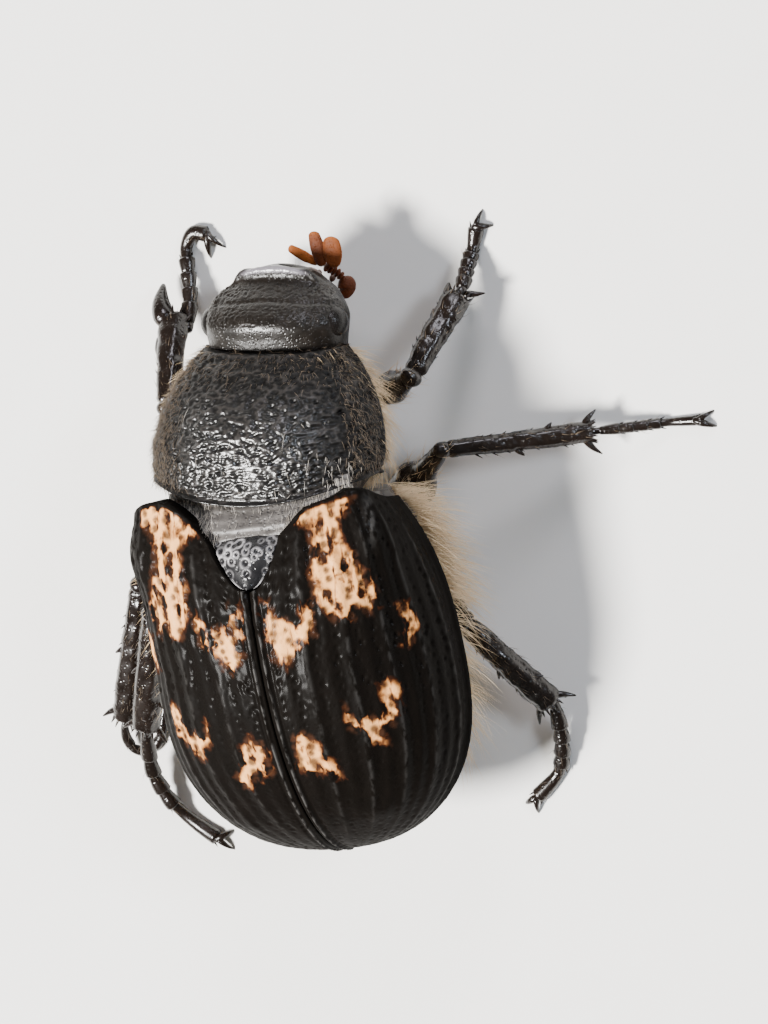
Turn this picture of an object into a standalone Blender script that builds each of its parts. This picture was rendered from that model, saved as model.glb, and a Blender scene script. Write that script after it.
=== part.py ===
"""Garden chafer beetle, Exomala campestris: a life-size still model that stands on its six feet.

Lengths are in millimetres up to the last step, which scales every mesh to metres.
The head points to -Y, the beetle's left side is +X and the floor is Z = 0.
"""

import math

import bmesh
import bpy
import numpy as np

MILLIMETRE = 0.001

# The wing cases: one vault from the base to the apex, 5.2 mm wide, with its crown 4.4 mm up.
CASE_HALF_WIDTH = 2.6
CASE_BASE_Y = -0.95
CASE_WIDEST_Y = 2.1
CASE_APEX_Y = 4.78
CASE_BASE_NARROWING = 0.43
CASE_BASE_SHIFT = 0.09
CASE_MARGIN_Z = 2.3
CASE_MARGIN_RISE = 0.55
CASE_VAULT = 2.1
CASE_CROWN_Y = 0.9
CASE_BASE_DROP = 0.3
RIB_SHARES = (0.17, 0.35, 0.53, 0.71, 0.88)
RIB_HEIGHT = 0.06
SHOULDER_BUMP = 0.17
BUMP_SHARE = 0.62
BUMP_SHARE_WIDTH = 0.20
BUMP_Y = -0.48
BUMP_LENGTH = 0.55
# Left and right wing case differ a little at the base, as in the photograph: side 1 is the left.
BASE_LOBE = {1: 0.71, -1: 0.63}
LOBE_REACH = {1: 0.92, -1: 1.15}
SHOULDER_CORNER_X = {1: 1.62, -1: 1.75}
SHOULDER_REACH = {1: 0.70, -1: 0.54}
SHOULDER_ROUNDING = {1: 0.62, -1: 0.55}
# Towards the shoulder the inner face ends level with the outer one, between these two shares.
FLUSH_FROM = 0.35
FLUSH_TO = 0.65
BASE_SECTION_Y = -0.6
SCUTELLUM_DIP = 0.30
NOTCH_TIP_Y = 0.25
NOTCH_LENGTH = 0.84
NOTCH_HALF = 0.64

# The shield behind the head, and how far head and shield are turned to the beetle's right.
SHIELD_HALF_WIDTH = 2.0
SHIELD_BASE_Y = -1.04
SHIELD_CORNER_Y = -1.42
SHIELD_FRONT_Y = -3.36
SHIELD_WIDEST_Y = -1.55
SHIELD_NARROWS_Y = -2.1
SHIELD_NARROWING = 0.14
FORE_TURN = math.radians(-6.0)
FORE_PIVOT_Y = -1.05
FORE_SHIFT_X = 0.12

# The head with the shovel-shaped plate in front, and the eyes.
HEAD_BASE_Y = -3.54
HEAD_FRONT_Y = -4.64
EYE_CENTRE = (1.04, -3.77, 2.18)
EYE_RADIUS = 0.28

# The underside, and how the solids are parted.
BELLY_Z = 1.1
WAIST_Y = 1.0
SHELL_THICKNESS = 0.5
JOINT_GAP = 0.15
COXA_RADIUS = 0.34
SOLE_DEPTH = 0.09
CLAW_RADIUS = 0.075

# Colours in linear light.
BLACK_HORN = (0.012, 0.011, 0.010)
CASE_BLACK = (0.016, 0.013, 0.011)
SHIELD_GREY = (0.030, 0.030, 0.033)
HAIRY_BROWN = (0.060, 0.048, 0.036)
ANTENNA_ORANGE = (0.42, 0.15, 0.045)
EYE_BLACK = (0.004, 0.004, 0.005)
MOUTH_BROWN = (0.070, 0.030, 0.014)


def material(name, colour, roughness, metallic=0.0):
    made = bpy.data.materials.new(name)
    made.use_nodes = True
    shader = made.node_tree.nodes["Principled BSDF"]
    shader.inputs["Base Color"].default_value = (*colour, 1.0)
    shader.inputs["Roughness"].default_value = roughness
    shader.inputs["Metallic"].default_value = metallic
    return made


def solid(name, points, faces):
    """A closed mesh object with its faces outward; unused and repeated points are dropped."""
    points = np.asarray(points, float)
    used = sorted({corner for face in faces for corner in face})
    place = {old: new for new, old in enumerate(used)}
    points = points[used]
    faces = [[place[corner] for corner in face] for face in faces]
    volume = 0.0
    for face in faces:
        for second, third in zip(face[1:-1], face[2:]):
            volume += np.dot(points[face[0]], np.cross(points[second], points[third]))
    if volume < 0:
        faces = [face[::-1] for face in faces]
    mesh = bpy.data.meshes.new(name)
    mesh.from_pydata(points.tolist(), [], faces)
    made = bpy.data.objects.new(name, mesh)
    bpy.context.scene.collection.objects.link(made)
    return made


def loft(name, rings):
    """A body through closed rings of equal count, with a flat face at each end."""
    rings = np.asarray(rings, float)
    count, around = rings.shape[:2]
    faces = [tuple(range(around)), tuple(range((count - 1) * around, count * around))[::-1]]
    for ring in range(count - 1):
        low = ring * around
        for corner in range(around):
            turn = (corner + 1) % around
            faces.append((low + turn, low + corner, low + around + corner, low + around + turn))
    return solid(name, rings.reshape(-1, 3), faces)


def shell(name, outer, inner, closed_tip=False):
    """A wall between two grids of points; with closed_tip the last row of each is one point."""
    rows, columns = outer.shape[:2]
    index = np.arange(rows * columns).reshape(rows, columns)
    if closed_tip:
        index[-1, :] = index[-1, 0]
    under = rows * columns
    faces = []
    for row in range(rows - 1):
        for column in range(columns - 1):
            quad = (index[row, column], index[row, column + 1],
                    index[row + 1, column + 1], index[row + 1, column])
            quad = list(dict.fromkeys(int(corner) for corner in quad))
            faces.append(quad)
            faces.append([corner + under for corner in quad[::-1]])
    border = [*index[0, :], *index[1:, -1], *index[-1, -2::-1], *index[-2:0:-1, 0]]
    for first, second in zip(border, border[1:] + border[:1]):
        if first != second:
            faces.append([int(second), int(first), int(first) + under, int(second) + under])
    return solid(name, np.concatenate([outer.reshape(-1, 3), inner.reshape(-1, 3)]), faces)


def unit(vector):
    vector = np.asarray(vector, float)
    return vector / np.linalg.norm(vector)


def swept(name, path, sizes, sides=8, start_normal=None, end_normal=None, gaps=(0.0, 0.0)):
    """A limb along a path. A size is (half width, half height); its ends lie in given planes."""
    path = np.asarray(path, float)
    steps = np.array([unit(step) for step in np.diff(path, axis=0)])
    tangents = [steps[0], *[unit(a + b) for a, b in zip(steps, steps[1:])], steps[-1]]
    turns = np.linspace(0.0, 2.0 * math.pi, sides, endpoint=False) + math.pi / sides
    rings = []
    for place, (point, tangent, size) in enumerate(zip(path, tangents, sizes)):
        across = unit(np.cross(tangent, (0.0, 0.0, 1.0)))
        upward = np.cross(across, tangent)
        half_width, half_height = np.broadcast_to(size, 2)
        ring = (np.cos(turns)[:, None] * half_width * across
                + np.sin(turns)[:, None] * half_height * upward)
        normal = tangent
        gap = 0.0
        if place == 0 and start_normal is not None:
            normal = unit(start_normal)
            gap = gaps[0] / 2.0
        if place == len(path) - 1 and end_normal is not None:
            normal = unit(end_normal)
            gap = -gaps[1] / 2.0
        along = (gap - ring @ normal) / (tangent @ normal)
        rings.append(point + ring + along[:, None] * tangent)
    return loft(name, rings)


def spine(name, root, tip, radius, sides=6, bend=(0.0, 0.0, 0.0)):
    """A tapered spine whose middle is pushed aside by bend."""
    root, tip = np.asarray(root, float), np.asarray(tip, float)
    shares = (0.0, 0.35, 0.7, 1.0)
    path = [root + (tip - root) * share + np.asarray(bend) * 4.0 * share * (1.0 - share)
            for share in shares]
    return swept(name, path, [radius * (1.0 - 0.78 * share) for share in shares], sides)


def into_triangles(mesh):
    """Splits bent faces, so that a join cuts the same shape that is seen."""
    work = bmesh.new()
    work.from_mesh(mesh)
    bmesh.ops.triangulate(work, faces=work.faces)
    work.to_mesh(mesh)
    work.free()


def settle(target, modifier):
    """Applies a modifier, so that the object's own mesh holds its result."""
    bpy.context.view_layer.update()
    graph = bpy.context.evaluated_depsgraph_get()
    result = bpy.data.meshes.new_from_object(target.evaluated_get(graph))
    target.modifiers.remove(modifier)
    target.data = result


def largest_surface(target):
    """Keeps only the biggest closed surface of a mesh."""
    mesh = target.data
    parent = list(range(len(mesh.vertices)))

    def root_of(index):
        while parent[index] != index:
            parent[index] = parent[parent[index]]
            index = parent[index]
        return index

    for edge in mesh.edges:
        first, second = root_of(edge.vertices[0]), root_of(edge.vertices[1])
        parent[first] = second
    groups = {}
    for face in mesh.polygons:
        groups.setdefault(root_of(face.vertices[0]), []).append(list(face.vertices))
    points = np.array([vertex.co for vertex in mesh.vertices])

    def spread(faces):
        corners = points[sorted({corner for face in faces for corner in face})]
        return float(np.prod(corners.max(axis=0) - corners.min(axis=0)))

    kept = max(groups.values(), key=spread)
    if len(groups) > 1:
        name = target.name
        bpy.data.objects.remove(target)
        return solid(name, points, kept)
    return target


def boolean(target, others, operation):
    """One Boolean with a collection of closed meshes, applied; the meshes are then removed."""
    tools = bpy.data.collections.new("tools")
    into_triangles(target.data)
    for other in others:
        into_triangles(other.data)
        tools.objects.link(other)
    modifier = target.modifiers.new("join", "BOOLEAN")
    modifier.operation = operation
    modifier.solver = "MANIFOLD"
    modifier.operand_type = "COLLECTION"
    modifier.collection = tools
    settle(target, modifier)
    for other in others:
        bpy.data.objects.remove(other)
    bpy.data.collections.remove(tools)
    return largest_surface(target)


def turned(points):
    """Points of the fore body, turned with it about the waist of the shield."""
    points = np.array(points, float)
    x, y = points[..., 0].copy(), points[..., 1] - FORE_PIVOT_Y
    points[..., 0] = FORE_SHIFT_X + x * math.cos(FORE_TURN) - y * math.sin(FORE_TURN)
    points[..., 1] = x * math.sin(FORE_TURN) + y * math.cos(FORE_TURN) + FORE_PIVOT_Y
    return points


def turn_forward(target):
    """Turns a finished node of the fore body to the beetle's right."""
    for vertex in target.data.vertices:
        vertex.co = turned(np.array(vertex.co))
    return target


def case_half_width(y, inset=0.0):
    """Half width of the wing cases, or of a vault that lies inside them by inset."""
    y = np.asarray(y, float)
    rear = np.clip((y - CASE_WIDEST_Y) / (CASE_APEX_Y - inset - CASE_WIDEST_Y), 0.0, 1.0)
    front = np.clip((CASE_WIDEST_Y - y) / (CASE_WIDEST_Y - CASE_BASE_Y), 0.0, 1.0)
    return ((CASE_HALF_WIDTH - inset) * (1.0 - rear ** 2.25) ** (1.0 / 2.3)
            - CASE_BASE_NARROWING * front ** 2)


def case_vault(y, inset=0.0):
    """Height of the crown over the side margin."""
    y = np.asarray(y, float)
    rear = np.clip((y - CASE_CROWN_Y) / (CASE_APEX_Y - inset - CASE_CROWN_Y), 0.0, 1.0)
    front = np.clip((CASE_CROWN_Y - y) / (CASE_CROWN_Y - CASE_BASE_Y), 0.0, 1.0)
    rising = CASE_MARGIN_RISE * front ** 2
    return ((CASE_VAULT - inset) * (1.0 - rear ** 2.3) ** (1.0 / 1.9)
            - CASE_BASE_DROP * front ** 2 - rising)


def case_margin(y):
    """Height of the side margin, which rises towards the shoulder."""
    front = np.clip((CASE_CROWN_Y - np.asarray(y, float)) / (CASE_CROWN_Y - CASE_BASE_Y), 0.0, 1.0)
    return CASE_MARGIN_Z + CASE_MARGIN_RISE * front ** 2


def case_power(y):
    """Boxiness of a cross-section: square at the shoulders, rounder behind."""
    front = np.clip((1.5 - np.asarray(y, float)) / (1.5 - CASE_BASE_Y), 0.0, 1.0)
    return 2.2 + 0.9 * front


def case_base(x, side):
    """The front edge: a notch for the small shield, then a lobe, clear of the large shield."""
    notch = NOTCH_TIP_Y - NOTCH_LENGTH * (np.minimum(x, NOTCH_HALF) / NOTCH_HALF) ** 2.4
    lobe = np.sin(math.pi / 2.0 * np.clip((x - NOTCH_HALF) / LOBE_REACH[side], 0.0, 1.0))
    corner = np.clip((x - SHOULDER_CORNER_X[side]) / SHOULDER_REACH[side], 0.0, 0.97)
    rounding = SHOULDER_ROUNDING[side] * (1.0 - np.sqrt(1.0 - corner ** 2))
    edge = notch - BASE_LOBE[side] * lobe + rounding
    share = np.minimum(x / shield_half_width(SHIELD_CORNER_Y), 1.0)
    shield_edge = SHIELD_BASE_Y + (SHIELD_CORNER_Y - SHIELD_BASE_Y) * share ** 2
    return np.maximum(edge, shield_edge + side * x * math.tan(FORE_TURN) + 1.5 * JOINT_GAP)


def section_point(x_root, half_width, margin, vault, power, angle):
    """A point of a vaulted section, from the crown at 90 degrees to the margin at 0."""
    across = np.abs(np.cos(angle)) ** (2.0 / power)
    upward = np.abs(np.sin(angle)) ** (2.0 / power)
    return x_root + (half_width - x_root) * across, margin + vault * upward


def rib_profile(share):
    """1 on a rib, the seam and the margin, and 0 in the grooves between."""
    crests = np.array([0.0, *RIB_SHARES, 1.0])
    return float(np.exp(-((np.min(np.abs(crests - share)) / 0.035) ** 2)))


def wing_case(name, side):
    """One wing case: a shell with ribs, from the seam to the margin and from base to apex."""
    crests = [0.0, *RIB_SHARES, 1.0]
    shares = sorted(crests + [(a + b) / 2.0 for a, b in zip(crests, crests[1:])] + [0.012, 0.035])
    rows = 17
    grids = []
    for inset in (0.0, SHELL_THICKNESS):
        grid = np.zeros((rows, len(shares), 3))
        root = JOINT_GAP / 2.0
        for column, share in enumerate(shares):
            angle = math.pi / 2.0 * (1.0 - share)
            flush = min(max((share - FLUSH_FROM) / (FLUSH_TO - FLUSH_FROM), 0.0), 1.0)
            base_half = case_half_width(BASE_SECTION_Y, inset * (1.0 - flush))
            base_x, _ = section_point(root, base_half, 0.0, 0.0, case_power(BASE_SECTION_Y), angle)
            base_y = case_base(base_x, side)
            apex_y = CASE_APEX_Y - inset
            for row in range(rows):
                travel = math.sin(math.pi / 2.0 * row / (rows - 1))
                y = base_y + (apex_y - base_y) * travel
                half_width = max(float(case_half_width(y, inset)), root)
                vault, margin = float(case_vault(y, inset)), float(case_margin(y))
                x, z = section_point(root, half_width, margin, vault, float(case_power(y)), angle)
                if inset == 0.0:
                    fade = min(1.0, 4.0 * (1.0 - travel), 0.25 + 5.0 * travel)
                    lift = RIB_HEIGHT * rib_profile(share) * fade
                    bump = math.exp(-((share - BUMP_SHARE) / BUMP_SHARE_WIDTH) ** 2
                                    - ((y - BUMP_Y) / BUMP_LENGTH) ** 2)
                    lift += SHOULDER_BUMP * bump
                    x += lift * math.cos(angle)
                    z += lift * math.sin(angle)
                front = min(max((CASE_WIDEST_Y - y) / (CASE_WIDEST_Y - CASE_BASE_Y), 0.0), 1.0)
                shift = CASE_BASE_SHIFT * front ** 2 * (x - root) / half_width
                grid[row, column] = (side * x + shift, y, z)
        grids.append(grid)
    return shell(name, grids[0], grids[1], closed_tip=True)


def scutellum():
    """The small shield between the wing-case bases, hairy in front and rounded behind."""
    front_y, tip_y = SHIELD_BASE_Y + 1.2 * JOINT_GAP, NOTCH_TIP_Y - 1.3 * JOINT_GAP
    shares = np.linspace(-1.0, 1.0, 9)
    rows = np.linspace(0.0, 1.0, 8)
    grids = []
    for drop, shrink in ((0.02, 1.0), (0.40, 0.72)):
        grid = np.zeros((len(rows), len(shares), 3))
        for row, travel in enumerate(rows):
            y = front_y + (tip_y - front_y) * math.sin(math.pi / 2.0 * travel)
            reach = max(0.0, (NOTCH_TIP_Y - y) / NOTCH_LENGTH) ** (1.0 / 2.4)
            half = (NOTCH_HALF * min(reach, 1.0) - 1.3 * JOINT_GAP) * shrink
            half = max(half, 0.0) if travel < 1.0 else 0.0
            fore = np.clip((-0.45 - y) / 0.35, 0.0, 1.0)
            for column, share in enumerate(shares):
                sag = 0.10 * share ** 2
                z = case_margin(y) + case_vault(y) - drop - sag - 0.20 * fore ** 2
                grid[row, column] = (half * share, y, z)
        grids.append(grid)
    return shell("scutellum", grids[0], grids[1], closed_tip=True)


def shield_half_width(y, inset=0.0):
    front = np.clip((SHIELD_WIDEST_Y - y) / 2.31, 0.0, 0.99)
    rear = np.clip((y - SHIELD_NARROWS_Y) / 0.9, 0.0, 1.0)
    return SHIELD_HALF_WIDTH * np.sqrt(1.0 - front ** 2) - SHIELD_NARROWING * rear ** 2 - inset


def shield_margin(y):
    return 2.10 + 0.30 * (np.asarray(y, float) - SHIELD_FRONT_Y)


def shield_vault(y, inset=0.0):
    share = np.clip((np.asarray(y, float) - SHIELD_FRONT_Y) / 2.4, 0.0, 1.0)
    return 0.78 + 0.52 * np.sin(math.pi * share ** 0.85) + 0.22 * share - inset


def pronotum():
    """The large shield behind the head, with its base bowed back between the hind corners."""
    angles = np.linspace(math.pi, 0.0, 21)
    rows = np.linspace(0.0, 1.0, 10)
    grids = []
    for inset in (0.0, SHELL_THICKNESS):
        grid = np.zeros((len(rows), len(angles), 3))
        for column, angle in enumerate(angles):
            side = 1.0 if math.cos(angle) > 0 else -1.0
            share = abs(math.cos(angle)) ** (2.0 / 2.2)
            base_y = SHIELD_BASE_Y + (SHIELD_CORNER_Y - SHIELD_BASE_Y) * share ** 2
            front_y = SHIELD_FRONT_Y - 0.04 * share ** 3
            for row, travel in enumerate(rows):
                y = front_y + (base_y - front_y) * travel
                x, z = section_point(0.0, float(shield_half_width(y, inset)),
                                     float(shield_margin(y)), float(shield_vault(y, inset)),
                                     2.2, angle)
                grid[row, column] = (side * x, y, z)
        grids.append(grid)
    return turn_forward(shell("pronotum", grids[0], grids[1]))


def under_ring(y, inner_half, inner_vault, margin, outer_half, belly, power, count=11):
    """A ring of the trunk: a vault under the shell, a ledge below its edge, then the belly."""
    ring = []
    for angle in np.linspace(0.0, math.pi, count):
        across = math.copysign(abs(math.cos(angle)) ** (2.0 / 2.2), math.cos(angle))
        upward = math.sin(angle) ** (2.0 / 2.2)
        ring.append((inner_half * across, y, margin + inner_vault * upward))
    for angle in np.linspace(math.pi, 2.0 * math.pi, count):
        across = math.copysign(abs(math.cos(angle)) ** (2.0 / power), math.cos(angle))
        downward = abs(math.sin(angle)) ** (2.0 / power)
        ring.append((outer_half * across, y, margin - (margin - belly) * downward))
    return np.array(ring)


def coxa(name, seat, direction):
    """The socket piece in which a leg turns, from inside the trunk to its flat seat."""
    seat, direction = np.asarray(seat, float), unit(direction)
    inward = -0.70 * direction + np.array([0.0, 0.0, 0.34])
    path = [seat + inward, seat + 0.5 * inward, seat - 0.2 * direction, seat]
    return swept(name, path, [COXA_RADIUS * share for share in (0.7, 1.0, 1.0, 0.88)], 10)


def prosternum(seats):
    """The underside of the fore body, which carries the front legs."""
    rings = []
    for y in (SHIELD_FRONT_Y + 0.02, -3.1, -2.6, -2.0, -1.5, SHIELD_BASE_Y - 0.06):
        inset = SHELL_THICKNESS + JOINT_GAP
        half = float(shield_half_width(y))
        front = np.clip((-2.6 - y) / 0.8, 0.0, 1.0)
        rear = np.clip((y + 1.9) / 0.9, 0.0, 1.0)
        margin = float(shield_margin(y)) - JOINT_GAP
        vault = float(shield_vault(y)) - inset + JOINT_GAP
        outer = half - 0.14 - 0.30 * rear ** 2
        belly = BELLY_Z + 0.05 + 0.30 * front ** 2
        rings.append(under_ring(y, half - inset - 0.1 * rear, vault, margin, outer, belly, 1.7))
    body = turn_forward(loft("prosternum", rings))
    sockets = [coxa("socket", seat, way) for seat, way in seats]
    return boolean(body, sockets, "UNION")


def trunk_ring(y, shrink=0.0, flat_y=None):
    """A ring of the hind trunk, under the wing cases."""
    inset = SHELL_THICKNESS + JOINT_GAP
    y_dome = min(y, CASE_APEX_Y - inset - 0.03)
    half = max(float(case_half_width(y_dome, inset)), 0.15)
    dip = SCUTELLUM_DIP * np.clip((-0.1 - y) / 0.5, 0.0, 1.0)
    vault = max(float(case_vault(y_dome, inset)), 0.10) + JOINT_GAP - dip
    margin = float(case_margin(y)) - JOINT_GAP
    rear = np.clip((y - CASE_WIDEST_Y) / 2.15, 0.0, 0.97)
    outer = min(float(case_half_width(y)) - 0.12, 2.48 * (1.0 - rear ** 2.6) ** 0.5)
    belly = BELLY_Z + 0.30 * np.clip((y - 1.5) / 2.6, 0.0, 1.0) ** 2 + shrink
    ring = under_ring(y, min(half, outer - 0.05), vault, margin, outer - shrink, belly, 1.75)
    if flat_y is not None:
        ring[:, 1] = flat_y(ring)
    return ring


def thorax(seats):
    """The trunk under the wing-case bases, which carries the middle and hind legs."""
    joint_y = SHIELD_BASE_Y - 0.06 + JOINT_GAP

    def front_plane(ring):
        return joint_y + ring[:, 0] * math.tan(FORE_TURN)

    rings = [trunk_ring(-0.62, 0.10, front_plane)]
    rings += [trunk_ring(y) for y in (-0.35, 0.0, 0.45, WAIST_Y - JOINT_GAP / 2.0)]
    body = loft("thorax", rings)
    sockets = [coxa("socket", seat, way) for seat, way in seats]
    return boolean(body, sockets, "UNION")


def rear_plane(z):
    """Where the tail slopes forward and down from the wing-case apex."""
    return 4.42 - 0.55 * (2.15 - z)


def abdomen():
    """The abdomen, whose belly plates step where one slides under the next."""
    plate_ends = (1.55, 2.05, 2.55, 3.0, 3.4)
    step = 0.045
    rings = [trunk_ring(WAIST_Y + JOINT_GAP / 2.0, step)]
    for end in plate_ends:
        rings.append(trunk_ring(end, 0.0))
        rings.append(trunk_ring(end + 0.05, step))

    def tail_plane(ring):
        low = rear_plane(ring[:, 2]) - 0.45 - JOINT_GAP
        return np.minimum(low, CASE_APEX_Y - SHELL_THICKNESS - 3.0 * JOINT_GAP)

    rings.append(trunk_ring(3.85, 0.0, tail_plane))
    return loft("abdomen", rings)


def pygidium():
    """The last plate of the back, a domed triangle below the apex of the wing cases."""
    turns = np.linspace(0.0, 2.0 * math.pi, 18, endpoint=False)
    top_z, low_z, half = 2.13, 1.25, 1.35
    rings = []
    for depth, scale in ((-0.45, 0.92), (-0.16, 1.0), (-0.02, 0.90), (0.07, 0.62), (0.10, 0.25)):
        ring = []
        for turn in turns:
            across = math.cos(turn)
            lower = math.sin(turn) < 0
            reach = 0.5 * (top_z - low_z)
            z = 0.5 * (top_z + low_z) + scale * reach * math.sin(turn)
            narrow = 1.0 - 0.35 * (0.5 - 0.5 * math.sin(turn)) if lower else 0.83
            x = scale * half * narrow * math.copysign(abs(across) ** 0.7, across)
            ring.append((x, float(rear_plane(z)) + depth, z))
        rings.append(ring)
    return loft("pygidium", rings)


def head_ring(y, half, top, bottom, power=2.4, count=20):
    ring = []
    for angle in np.linspace(0.0, 2.0 * math.pi, count, endpoint=False):
        across = math.copysign(abs(math.cos(angle)) ** (2.0 / power), math.cos(angle))
        upward = math.copysign(abs(math.sin(angle)) ** (2.0 / power), math.sin(angle))
        ring.append((half * across, y, 0.5 * (top + bottom) + 0.5 * (top - bottom) * upward))
    return ring


def head():
    """The head: broad between the eyes, with a low shovel in front that has a raised rim."""
    sections = (
        (HEAD_BASE_Y, 1.18, 2.74, 1.40), (-3.72, 1.20, 2.78, 1.36), (-3.96, 1.17, 2.68, 1.36),
        (-4.16, 1.06, 2.48, 1.40), (-4.34, 0.94, 2.26, 1.48), (-4.48, 0.81, 2.13, 1.56),
        (-4.57, 0.71, 2.15, 1.62), (HEAD_FRONT_Y, 0.60, 2.12, 1.72),
    )
    body = loft("head", [head_ring(*section) for section in sections])
    sockets = [ball("socket", (side * EYE_CENTRE[0], EYE_CENTRE[1], EYE_CENTRE[2]),
                    EYE_RADIUS + JOINT_GAP, 14, 9) for side in (-1, 1)]
    return turn_forward(boolean(body, sockets, "DIFFERENCE"))


def ball(name, centre, radius, around=16, up=10, stretch=(1.0, 1.0, 1.0)):
    """A ball whose poles lie along X."""
    centre, stretch = np.asarray(centre, float), np.asarray(stretch, float)
    rings = []
    for polar in np.linspace(0.0, math.pi, up + 1)[1:-1]:
        ring = []
        for turn in np.linspace(0.0, 2.0 * math.pi, around, endpoint=False):
            way = (math.cos(polar), math.sin(polar) * math.cos(turn),
                   math.sin(polar) * math.sin(turn))
            ring.append(centre + radius * stretch * np.array(way))
        rings.append(ring)
    return loft(name, rings)


def eye(name, side):
    centre = (side * EYE_CENTRE[0], EYE_CENTRE[1], EYE_CENTRE[2])
    return turn_forward(ball(name, centre, EYE_RADIUS))


def mouthparts():
    """Upper lip, jaws and feeling palps under the shovel of the head."""
    lip_top = 1.34 - JOINT_GAP
    lip = loft("mouthparts", [
        head_ring(-3.90, 0.36, lip_top, 0.96, count=12),
        head_ring(-4.20, 0.38, lip_top, 0.98, count=12),
        head_ring(-4.42, 0.28, lip_top + 0.05, 1.02, count=12),
    ])
    pieces = []
    for side in (-1, 1):
        pieces.append(spine("jaw", (side * 0.24, -4.15, 1.08), (side * 0.10, -4.60, 1.14), 0.15,
                            bend=(side * 0.07, 0.0, 0.0)))
        pieces.append(spine("palp", (side * 0.26, -4.05, 1.04), (side * 0.38, -4.46, 0.78), 0.12,
                            bend=(side * 0.04, 0.0, -0.05)))
        pieces.append(spine("palp", (side * 0.14, -4.10, 1.06), (side * 0.18, -4.42, 0.74), 0.10))
    return turn_forward(boolean(lip, pieces, "UNION"))


def antenna(name, path, fan_centre, fan_way, spread):
    """A feeler: a curved shaft of beads, then a club of three leaves that fan out."""
    path = np.asarray(path, float)
    shaft = swept(name, path, [0.16, 0.21, 0.15, 0.17, 0.16], 8)
    centre, way = np.asarray(fan_centre, float), unit(fan_way)
    across = unit(np.cross(way, (0.0, 0.0, 1.0)))
    leaves = []
    for place in (-1, 0, 1):
        tilt = unit(way + across * place * spread)
        start = centre - 0.12 * way + across * place * 0.06
        leaf = [start, start + 0.20 * tilt, start + 0.42 * tilt, start + 0.62 * tilt]
        leaves.append(swept("leaf", leaf, [(0.13, 0.16), (0.16, 0.25), (0.15, 0.25), (0.07, 0.12)],
                            8))
    return turn_forward(boolean(shaft, leaves, "UNION"))


def mitre(before, joint, after):
    """The plane in which two limb pieces meet, as its normal."""
    return unit(unit(np.subtract(joint, before)) + unit(np.subtract(after, joint)))


def press_soles(target):
    """Flattens what reaches below the floor, which makes the small flats the feet stand on."""
    for vertex in target.data.vertices:
        vertex.co.z = max(vertex.co.z, 0.0)
    return target


def along(path, shares):
    """Points at given shares of a path's length."""
    path = np.asarray(path, float)
    lengths = np.linalg.norm(np.diff(path, axis=0), axis=1)
    travelled = np.concatenate([[0.0], np.cumsum(lengths)]) / lengths.sum()
    return np.array([[np.interp(share, travelled, path[:, axis]) for axis in range(3)]
                     for share in shares])


def femur(name, seat, sag, knee, knee_normal, girth, slim):
    """The thigh: a short neck at the trunk, a swollen middle and a narrower knee."""
    way = unit(np.subtract(sag, seat))
    start = np.asarray(seat, float) + JOINT_GAP * way
    path = along([start, sag, knee], (0.0, 0.18, 0.38, 0.56, 0.74, 1.0))
    widths = np.array([0.66, 0.86, 1.0, 0.95, 0.74, 0.60]) * [1.0, 1.0, 1.0, slim, slim, slim]
    sizes = [(girth * width * 1.15, girth * width * 0.9) for width in widths]
    return swept(name, path, sizes, 10, start_normal=way, end_normal=knee_normal,
                 gaps=(0.0, JOINT_GAP))


def tibia(name, knee, knee_normal, ankle, ankle_normal, girth, spines):
    """The shin: slim at the knee, flared at its end, with its teeth and spurs."""
    path = along([knee, ankle], (0.0, 0.24, 0.5, 0.75, 0.90, 1.0))
    widths = (0.70, 0.80, 0.92, 1.06, 1.12, 0.85)
    sizes = [(girth * width * 1.1, girth * width * 0.9) for width in widths]
    shaft = swept(name, path, sizes, 10, start_normal=knee_normal, end_normal=ankle_normal,
                  gaps=(JOINT_GAP, JOINT_GAP))
    knee, ankle = np.asarray(knee, float), np.asarray(ankle, float)
    way = unit(ankle - knee)
    across = unit(np.cross(way, (0.0, 0.0, 1.0)))
    upward = np.cross(across, way)
    length = np.linalg.norm(ankle - knee)
    pieces = []
    for share, side, lift, radius, reach, lean in spines:
        out = unit(side * across + lift * upward)
        root = knee + way * length * share + 0.35 * girth * out
        tip = root + (0.65 * girth + reach) * unit(out + lean * way)
        pieces.append(spine("spine", root, tip, radius))
    return boolean(shaft, pieces, "UNION")


def tarsus(name, ankle, ankle_normal, route, girth, claw_ways):
    """The foot: four short joints like stacked cups, a long last one and two claws."""
    joints = (0.0, 0.20, 0.34, 0.47, 0.60, 1.0)
    shares, sizes = [0.0], [0.75 * girth]
    for first, last in zip(joints, joints[1:]):
        shares += [first + 0.72 * (last - first), last - 0.01]
        sizes += [1.05 * girth, 0.86 * girth]
        if last < 1.0:
            shares.append(last + 0.01)
            sizes.append(0.68 * girth)
    shares[-1] = 1.0
    path = along([ankle, *route], shares)
    foot = swept(name, path, sizes, 8, start_normal=ankle_normal, gaps=(JOINT_GAP, 0.0))
    toe = np.asarray(route[-1], float)
    claws = []
    for way in claw_ways:
        reach = np.asarray(way, float)
        root = toe - 0.10 * unit(reach)
        claws.append(spine("claw", root, toe + reach, CLAW_RADIUS, bend=(0.0, 0.0, 0.07)))
    return press_soles(boolean(foot, claws, "UNION"))


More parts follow.
